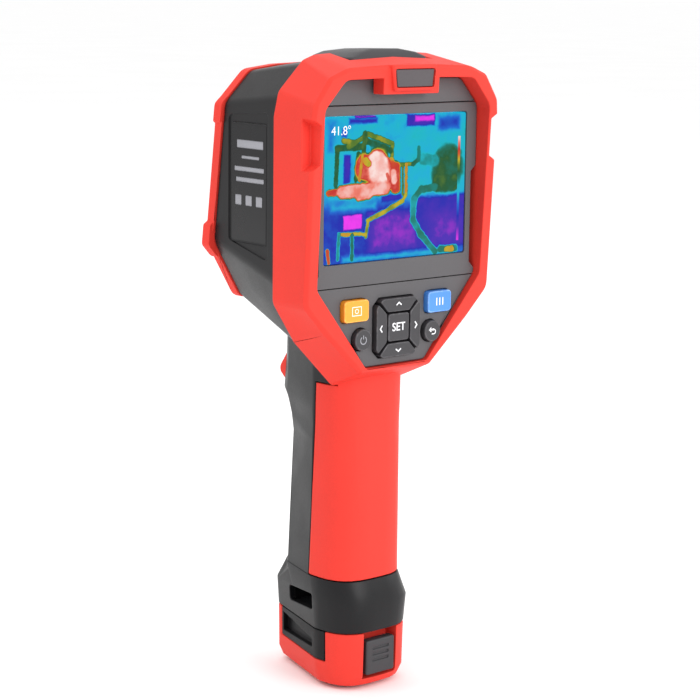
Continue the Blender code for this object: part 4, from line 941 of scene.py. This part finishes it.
def make_key(node, finish):
    """A key: its outline with rounded corners, carried back to its flange, with a dished top."""
    outline, spot, radius = key_outlines()[node]
    low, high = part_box(node)
    front, back = low.y, high.y
    bm = bmesh.new()
    edge_mark = bm.faces.layers.float.new("edge")
    points = [bm.verts.new(Vector((u + spot.x, front / MM, v + spot.y)) * MM) for u, v in outline]
    top = bm.faces.new(points)
    if radius:
        rounded(bm, points, radius, 5, "VERTICES", clamp=True)
        top = bm.faces[:][0]
    carried_back(bm, [top], back - front)
    bmesh.ops.recalc_face_normals(bm, faces=bm.faces)
    # The key's rim takes the lighter edge colour: wear and a painted highlight.
    for face in rounded(bm, top.edges[:], KEY_RIM, 4, clamp=True):
        face[edge_mark] = 1.0
    top = min(bm.faces, key=lambda f: f.calc_center_median().y)
    top[edge_mark] = 0.0
    bmesh.ops.poke(bm, faces=[top], offset=-sizes().key_dish)
    finished_piece(f"{node}_cap", bm, node, finish, (node,))


KEYS = {"photo_key": "yellow key", "mode_key": "blue key"}
for plain_key in (
    "power_key", "return_key", "set_key", "up_key", "right_key", "down_key", "left_key"
):
    KEYS[plain_key] = "grey rubber"


def key_strokes():
    """Each key's legend as lines of (x, z) points, with their width and finish."""
    def around(key):
        spot = middle_of(key) / MM
        return spot.x, spot.z

    marks = {}
    for key, turn in (("up_key", 0), ("right_key", 3), ("down_key", 2), ("left_key", 1)):
        x, z = around(key)
        chevron = [(-1.3, -0.45), (0, 0.55), (1.3, -0.45)]
        for _ in range(turn):
            chevron = [(-v, u) for u, v in chevron]
        marks[key] = ([[(x + u, z + v) for u, v in chevron]], 0.5, "legend white")
    x, z = around("power_key")
    ring = arc_points((x, z - 0.1), 1.45, 125, 415, 20)
    marks["power_key"] = ([ring, [(x, z + 0.3), (x, z + 1.8)]], 0.38, "legend grey")
    x, z = around("return_key")
    bend = arc_points((x + 0.7, z - 0.35), 0.85, 90, -90, 8)
    hook = [(x - 1.6, z + 0.5), (x + 0.7, z + 0.5), *bend, (x - 0.4, z - 1.2)]
    head = [(x - 0.7, z + 1.3), (x - 1.7, z + 0.5), (x - 0.7, z - 0.3)]
    marks["return_key"] = ([hook, head], 0.4, "legend white")
    x, z = around("photo_key")
    frame_line = [(x - 2.2, z), (x - 2.2, z + 1.6), (x + 2.2, z + 1.6), (x + 2.2, z - 1.6)]
    frame_line += [(x - 2.2, z - 1.6), (x - 2.2, z)]
    ring = arc_points((x, z), 0.8, 0, 360, 16)
    marks["photo_key"] = ([frame_line, ring], 0.3, "legend pale")
    x, z = around("mode_key")
    bars = [[(x + step, z - 1.5), (x + step, z + 1.5)] for step in (-1.6, 0, 1.6)]
    marks["mode_key"] = (bars, 0.45, "legend pale")
    return marks


def make_keys():
    """The keys with dished tops, and the legend let into each."""
    for key, finish in KEYS.items():
        make_key(key, finish)
    for key, (lines, width, finish) in key_strokes().items():
        bm = bmesh.new()
        near = (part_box(key)[0].y + sizes().key_dish * LEGEND_LEVEL) / MM - 0.02
        for points in lines:
            add_stroke(bm, points, width, near, near + 0.5)
        bmesh.ops.recalc_face_normals(bm, faces=bm.faces)
        finished_piece(f"{key}_legend", bm, key, finish, weighted=False)
    curve = text_curve("SET", 4.4, 0.2)
    curve.align_x = curve.align_y = "CENTER"
    curve.offset = 0.06 * MM
    spot = middle_of("set_key")
    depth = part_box("set_key")[0].y + sizes().key_dish * LEGEND_LEVEL + 0.18 * MM
    word_piece("set_key_legend", curve, Vector((spot.x, depth, spot.z)), "set_key")


LABEL_ROWS = [  # height of the row's middle, its half height, and its ends along the depth axis
    (212.5, 1.5, -9.0, 7.5),
    (207.6, 0.55, -6.5, 4.5),
    (203.2, 0.85, -9.5, 9.0),
    (199.2, 0.85, -9.5, 8.0),
    (191.5, 1.9, -8.5, -4.7),
    (191.5, 1.9, -1.9, 1.9),
    (191.5, 1.9, 4.7, 8.5),
]
LABEL_TILT = 2.0 / 36.5  # how much the head's sides draw in towards the front
LABEL_FILM = (198.0, 22.5, -11.0, 11.0)  # as a row
SIDE = 44.5  # half the head's width at the label, in millimetres


def make_label():
    """The rating labels in the sides of the head: a film with plain bars in place of wording."""
    for side, place in ((-1, "left"), (1, "right")):
        for name, finish, blocks, low, high, corner in (
            ("film", "label film", [LABEL_FILM], -0.25, 0.08, 0.8),
            ("bars", "legend grey", LABEL_ROWS, 0.0, 0.13, 0.25),
        ):
            bm = bmesh.new()
            for middle, half, near, far in blocks:
                ends = sorted((side * (SIDE + low), side * (SIDE + high)))
                add_block(bm, (ends[0], near, middle - half), (ends[1], far, middle + half))
            for vert in bm.verts:
                vert.co.x -= side * LABEL_TILT * vert.co.y
            across = [e for e in bm.edges if abs(e.verts[0].co.x - e.verts[1].co.x) > 0.1 * MM]
            rounded(bm, across, corner, 3)
            piece = f"side_label_{name}_{place}"
            finished_piece(piece, bm, "housing", finish, weighted=False)


LENS_RADIUS = 18.8  # the barrel's, in millimetres
LENS_BORE = 13.9


def depths_of(node):
    """A node's back, front and greatest radius, in millimetres."""
    low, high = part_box(node)
    return low.y / MM, high.y / MM, (high.x - low.x) / 2 / MM


def make_lens():
    """The lens barrel with its ribbed grip, the front ring and the lens."""
    radius, bore = LENS_RADIUS, LENS_BORE
    back, front, _ = depths_of("lens_barrel")
    outline = [(bore + 3.0, front), (radius - 1.4, front), (radius - 0.6, front - 0.5)]
    outline.append((radius, front - 1.2))
    step = front - 3.2
    while step > front - 15.5:
        outline += [(radius, step), (radius - 0.55, step - 0.35), (radius - 0.55, step - 0.85)]
        outline.append((radius, step - 1.2))
        step -= 2.3
    outline += [(radius, front - 17.4), (radius - 0.9, front - 18.0), (radius - 0.9, back + 2.4)]
    outline += [(radius + 2.9, back + 2.4), (radius + 3.2, back + 2.1), (radius + 3.2, back)]
    outline += [(bore - 2.2, back), (bore - 2.2, front - 11.4), (bore + 3.0, front - 7.9)]
    turned_piece("lens_tube", outline, "black rubber", "lens_barrel", 96)
    _, front, _ = depths_of("lens_ring")
    outline = [(bore + 0.6, front - 0.3), (bore + 0.9, front), (radius - 1.9, front)]
    outline += [(radius - 1.5, front - 0.2), (radius - 0.9, front - 0.9)]
    outline += [(radius - 0.9, front - 2.3), (bore + 2.6, front - 2.3), (bore + 2.6, front - 6)]
    outline += [(bore - 1.2, front - 6), (bore - 1.2, front - 4.6), (bore - 0.8, front - 4.4)]
    outline += [(bore - 0.4, front - 3.4), (bore - 0.1, front - 3.4), (bore + 0.1, front - 2.2)]
    outline += [(bore + 0.3, front - 2.2)]
    turned_piece("lens_rim", outline, "anodised ring", "lens_ring", 96)
    back, front, reach = depths_of("ir_lens")
    outline = [(0, front)]
    for k in range(1, 13):
        part = k / 12
        outline.append((reach * part, front - 2.0 * part**2))
    outline += [(reach, back + 0.8), (0, back)]
    turned_piece("infrared_lens", outline, "coated lens", "ir_lens", 96)


def make_small_optics():
    """The camera, lamp and pointer windows with a stepped rim round each."""
    for node, name, finish in (
        ("camera_window", "camera_pane", "dark window"),
        ("lamp_lens", "lamp_pane", "clear window"),
        ("laser_window", "pointer_pane", "dark window"),
    ):
        back, front, radius = depths_of(node)
        outline = [(0, front), (radius * 0.6, front)]
        outline += [(radius * 0.66, front - 0.25), (radius * 0.86, front - 0.25)]
        outline += [(radius * 0.9, front), (radius - 0.25, front), (radius, front - 0.3)]
        outline += [(radius, back), (0, back)]
        turned_piece(name, outline, finish, node, 48)


def make_screws():
    """The front screws, each with a socket let into its head."""
    for i in range(1, 5):
        node = f"front_screw_{i}"
        back, front, _ = depths_of(node)
        outline = [(0, front - 1.0), (1.2, front - 1.0), (1.35, front - 0.05), (1.6, front)]
        outline += [(2.1, front), (2.7, front - 0.5), (2.9, front - 0.9), (2.9, front - 1.4)]
        outline += [(1.5, front - 1.4)]
        depth = front - 1.4
        while depth > back + 1.2:
            outline += [(1.3, depth - 0.3), (1.5, depth - 0.6)]
            depth -= 0.6
        outline += [(1.2, back + 0.2), (0, back)]
        turned_piece(f"face_screw_{i}", outline, "steel", node, 24)


def make_cover():
    """The rubber cover over the sockets."""
    softened("socket_cover", "port_cover", "port_cover", "grey rubber", 0.7)


def make_trigger():
    """The trigger lever."""
    softened("trigger_lever", "trigger", "trigger", "red rubber", 0.35)


def make_battery():
    """The battery's red foot, its side pads, its latch and what is inside it."""
    softened("battery_foot", "battery_case", "battery", "red rubber")
    softened("battery_cheek_left", "battery_pad_left", "battery", "black rubber", 0.35)
    softened("battery_cheek_right", "battery_pad_right", "battery", "black rubber", 0.35)
    softened("battery_neck", "battery_tower", "battery", "inner plastic", 0.25, 2)
    softened("release_latch", "battery_latch", "battery_latch", "grey rubber", 0.3)


INSIDE = {
    "board": ["battery_board", "detector_board", "io_board", "key_board", "main_board"],
    "cell wrap": ["battery_cell"],
    "inner plastic": ["camera_module", "dock_contacts", "speaker", "trigger_switch"],
    "foam seal": ["lens_seal", "keypad_membrane"],
    "zinc plate": ["card_slot", "usb_connector", "ir_detector", "lcd_module"],
    "brass": ["contact_block", "laser_module"],
    "steel": ["shutter_motor", "shutter_blade"],
}


SPRINGS = [  # piece, frame node, body, joint, depth of its still end, share of its length kept
    ("trigger_coil", "trigger_spring", "housing", "trigger_pull", "low", 0.48),
    ("latch_leaf", "latch_spring", "battery", "battery_latch_press", "high", 0.5),
]


def make_springs():
    """The springs behind the trigger and the latch, each with a mesh of its own."""
    for name, node, body, joint, still, keep in SPRINGS:
        piece = softened(name, node, body, "spring steel", 0.05, 2)
        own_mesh(piece)


def finish_inside():
    """The finish of every frame node that is shown as it is."""
    for finish, nodes in INSIDE.items():
        for node in nodes:
            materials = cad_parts[node].data.materials
            materials.clear()
            materials.append(FINISHES[finish])


# The stage


CAMERA_PLACE = (-0.519893, -0.595552, 0.269169)
CAMERA_TURN = math.radians(41.494)
CAMERA_DROP = math.radians(9.964)
CAMERA_ROLL = math.radians(0.7475)
CAMERA_LENS = 105.11
FLOOR_REACH = 60.0  # metres, so that its far edge is out of sight


def make_camera():
    """The camera, from its place, its turn from the depth axis, its drop and its roll."""
    data = bpy.data.cameras.new("camera")
    data.lens = CAMERA_LENS
    data.sensor_width = 36.0
    data.clip_start = 0.01
    camera = bpy.data.objects.new("camera", data)
    turn, drop, roll = CAMERA_TURN, CAMERA_DROP, CAMERA_ROLL
    ahead = Vector(
        (math.sin(turn) * math.cos(drop), math.cos(turn) * math.cos(drop), -math.sin(drop))
    )
    right = Vector((math.cos(turn), -math.sin(turn), 0))
    up = right.cross(ahead)
    right, up = (
        right * math.cos(roll) + up * math.sin(roll),
        up * math.cos(roll) - right * math.sin(roll),
    )
    matrix = Matrix((right, up, -ahead)).transposed().to_4x4()
    matrix.translation = Vector(CAMERA_PLACE)
    camera.matrix_world = matrix
    bpy.context.scene.collection.objects.link(camera)
    bpy.context.scene.camera = camera


def make_floor():
    """A plain pale floor just under the battery's foot."""
    bm = bmesh.new()
    bmesh.ops.create_grid(bm, x_segments=2, y_segments=2, size=FLOOR_REACH)
    bmesh.ops.translate(bm, verts=bm.verts, vec=(0, 0, -0.4 * MM))
    mesh = bpy.data.meshes.new("floor")
    bm.to_mesh(mesh)
    bm.free()
    floor = bpy.data.objects.new("floor", mesh)
    bpy.context.scene.collection.objects.link(floor)
    made, wire, shader, where = new_material("pale floor", {"Roughness": 0.9})
    tone = wire.ramp(wire.noise(where, 3.0, 2.0), 0.3, 0.7, 0.0, 1.0)
    pale = wire.mix(tone, (0.985, 0.985, 0.985, 1), (1, 1, 1, 1))
    wire.feed(shader.inputs["Base Color"], pale)
    mesh.materials.append(made)


LAMPS = [  # name, place, size, watts
    ("key lamp", (0.3, -1.9, 0.9), 1.3, 18.0),
    ("side lamp", (-1.1, 0.5, 1.7), 0.8, 4.5),
    ("right lamp", (1.7, -0.9, 0.7), 1.0, 4.0),
    ("top lamp", (0.1, 0.5, 1.6), 0.9, 4.0),
]
LAMP_AIM = Vector((0, 0, 0.13))  # about half way up


def make_lamps():
    """Soft round lamps aimed at the object, in a plain white room."""
    for name, place, size, power in LAMPS:
        data = bpy.data.lights.new(name, "AREA")
        data.shape = "DISK"
        data.size = size
        data.energy = power
        lamp = bpy.data.objects.new(name, data)
        lamp.location = place
        lamp.rotation_euler = (LAMP_AIM - Vector(place)).to_track_quat("-Z", "Y").to_euler()
        bpy.context.scene.collection.objects.link(lamp)
    world = bpy.data.worlds.new("studio")
    world.use_nodes = True
    shade = world.node_tree.nodes["Background"]
    shade.inputs["Color"].default_value = (1, 1, 1, 1)
    shade.inputs["Strength"].default_value = 1.0
    bpy.context.scene.world = world
    bpy.context.scene.view_settings.view_transform = "Standard"


# Operators and panel


class MakeThermalFinishes(bpy.types.Operator):
    """Make every finish from the colours and sizes"""

    bl_idname = "thermal_camera.make_finishes"
    bl_label = "Finishes"
    bl_options = {"REGISTER", "UNDO"}

    def execute(self, context):
        make_finishes()
        return {"FINISHED"}


class MakeThermalRubber(bpy.types.Operator):
    """Make the red rubber frame and the ring round the front"""

    bl_idname = "thermal_camera.make_rubber"
    bl_label = "Rubber Frame"
    bl_options = {"REGISTER", "UNDO"}

    def execute(self, context):
        make_rubber()
        return {"FINISHED"}


class MakeThermalHousing(bpy.types.Operator):
    """Make the black shells of the head and the grip, and the front panel"""

    bl_idname = "thermal_camera.make_housing"
    bl_label = "Black Housing"
    bl_options = {"REGISTER", "UNDO"}

    def execute(self, context):
        make_housing()
        return {"FINISHED"}


class MakeThermalSurround(bpy.types.Operator):
    """Make the grey mouldings round the screen and the keys"""

    bl_idname = "thermal_camera.make_surround"
    bl_label = "Screen Surround"
    bl_options = {"REGISTER", "UNDO"}

    def execute(self, context):
        make_surround()
        return {"FINISHED"}


class MakeThermalScreen(bpy.types.Operator):
    """Make the screen glass, its picture and its reading"""

    bl_idname = "thermal_camera.make_screen"
    bl_label = "Screen"
    bl_options = {"REGISTER", "UNDO"}

    def execute(self, context):
        make_screen()
        return {"FINISHED"}


class MakeThermalKeys(bpy.types.Operator):
    """Make the dished keys and their legends"""

    bl_idname = "thermal_camera.make_keys"
    bl_label = "Keys"
    bl_options = {"REGISTER", "UNDO"}

    def execute(self, context):
        make_keys()
        return {"FINISHED"}


class MakeThermalLabel(bpy.types.Operator):
    """Make the plain labels in the sides of the head"""

    bl_idname = "thermal_camera.make_label"
    bl_label = "Side Labels"
    bl_options = {"REGISTER", "UNDO"}

    def execute(self, context):
        make_label()
        return {"FINISHED"}


class MakeThermalLens(bpy.types.Operator):
    """Make the turned lens barrel, its rim and the infrared lens"""

    bl_idname = "thermal_camera.make_lens"
    bl_label = "Lens"
    bl_options = {"REGISTER", "UNDO"}

    def execute(self, context):
        make_lens()
        return {"FINISHED"}


class MakeThermalOptics(bpy.types.Operator):
    """Make the camera, lamp and pointer windows"""

    bl_idname = "thermal_camera.make_optics"
    bl_label = "Small Windows"
    bl_options = {"REGISTER", "UNDO"}

    def execute(self, context):
        make_small_optics()
        return {"FINISHED"}


class MakeThermalScrews(bpy.types.Operator):
    """Make the screws of the front panel"""

    bl_idname = "thermal_camera.make_screws"
    bl_label = "Front Screws"
    bl_options = {"REGISTER", "UNDO"}

    def execute(self, context):
        make_screws()
        return {"FINISHED"}


class MakeThermalCover(bpy.types.Operator):
    """Make the rubber cover over the sockets"""

    bl_idname = "thermal_camera.make_cover"
    bl_label = "Socket Cover"
    bl_options = {"REGISTER", "UNDO"}

    def execute(self, context):
        make_cover()
        return {"FINISHED"}


class MakeThermalTrigger(bpy.types.Operator):
    """Make the trigger"""

    bl_idname = "thermal_camera.make_trigger"
    bl_label = "Trigger"
    bl_options = {"REGISTER", "UNDO"}

    def execute(self, context):
        make_trigger()
        return {"FINISHED"}


class MakeThermalBattery(bpy.types.Operator):
    """Make the battery's foot, side pads, neck and latch"""

    bl_idname = "thermal_camera.make_battery"
    bl_label = "Battery"
    bl_options = {"REGISTER", "UNDO"}

    def execute(self, context):
        make_battery()
        return {"FINISHED"}


class MakeThermalSprings(bpy.types.Operator):
    """Make the springs behind the trigger and the latch"""

    bl_idname = "thermal_camera.make_springs"
    bl_label = "Springs"
    bl_options = {"REGISTER", "UNDO"}

    def execute(self, context):
        make_springs()
        return {"FINISHED"}


class MakeThermalInside(bpy.types.Operator):
    """Finish the frame's inner parts"""

    bl_idname = "thermal_camera.make_inside"
    bl_label = "Inner Parts"
    bl_options = {"REGISTER", "UNDO"}

    def execute(self, context):
        finish_inside()
        return {"FINISHED"}


class MakeThermalStage(bpy.types.Operator):
    """Make the camera, the floor and the lamps"""

    bl_idname = "thermal_camera.make_stage"
    bl_label = "Stage"
    bl_options = {"REGISTER", "UNDO"}

    def execute(self, context):
        make_camera()
        make_floor()
        make_lamps()
        return {"FINISHED"}


OPERATORS = (
    MakeThermalFinishes,
    MakeThermalRubber,
    MakeThermalHousing,
    MakeThermalSurround,
    MakeThermalScreen,
    MakeThermalKeys,
    MakeThermalLabel,
    MakeThermalLens,
    MakeThermalOptics,
    MakeThermalScrews,
    MakeThermalCover,
    MakeThermalTrigger,
    MakeThermalBattery,
    MakeThermalSprings,
    MakeThermalInside,
    MakeThermalStage,
)


class ThermalCameraPanel(bpy.types.Panel):
    """Sizes, colours and makers of the camera's pieces"""

    bl_idname = "VIEW3D_PT_thermal_camera"
    bl_label = "Thermal Camera"
    bl_space_type = "VIEW_3D"
    bl_region_type = "UI"
    bl_category = "Thermal Camera"

    def draw(self, context):
        layout = self.layout
        for settings in (context.scene.thermal_camera_sizes, context.scene.thermal_camera_colours):
            box = layout.box()
            for name in settings.__annotations__:
                box.prop(settings, name)
        for made in OPERATORS:
            layout.operator(made.bl_idname)


CLASSES = (ThermalCameraSizes, ThermalCameraColours, *OPERATORS, ThermalCameraPanel)


def register():
    for made in CLASSES:
        bpy.utils.register_class(made)
    bpy.types.Scene.thermal_camera_sizes = bpy.props.PointerProperty(type=ThermalCameraSizes)
    bpy.types.Scene.thermal_camera_colours = bpy.props.PointerProperty(type=ThermalCameraColours)


def unregister():
    del bpy.types.Scene.thermal_camera_colours
    del bpy.types.Scene.thermal_camera_sizes
    for made in reversed(CLASSES):
        bpy.utils.unregister_class(made)


def main():
    register()
    for made in OPERATORS:
        category, name = made.bl_idname.split(".")
        getattr(getattr(bpy.ops, category), name)()


if __name__ == "__main__":
    main()
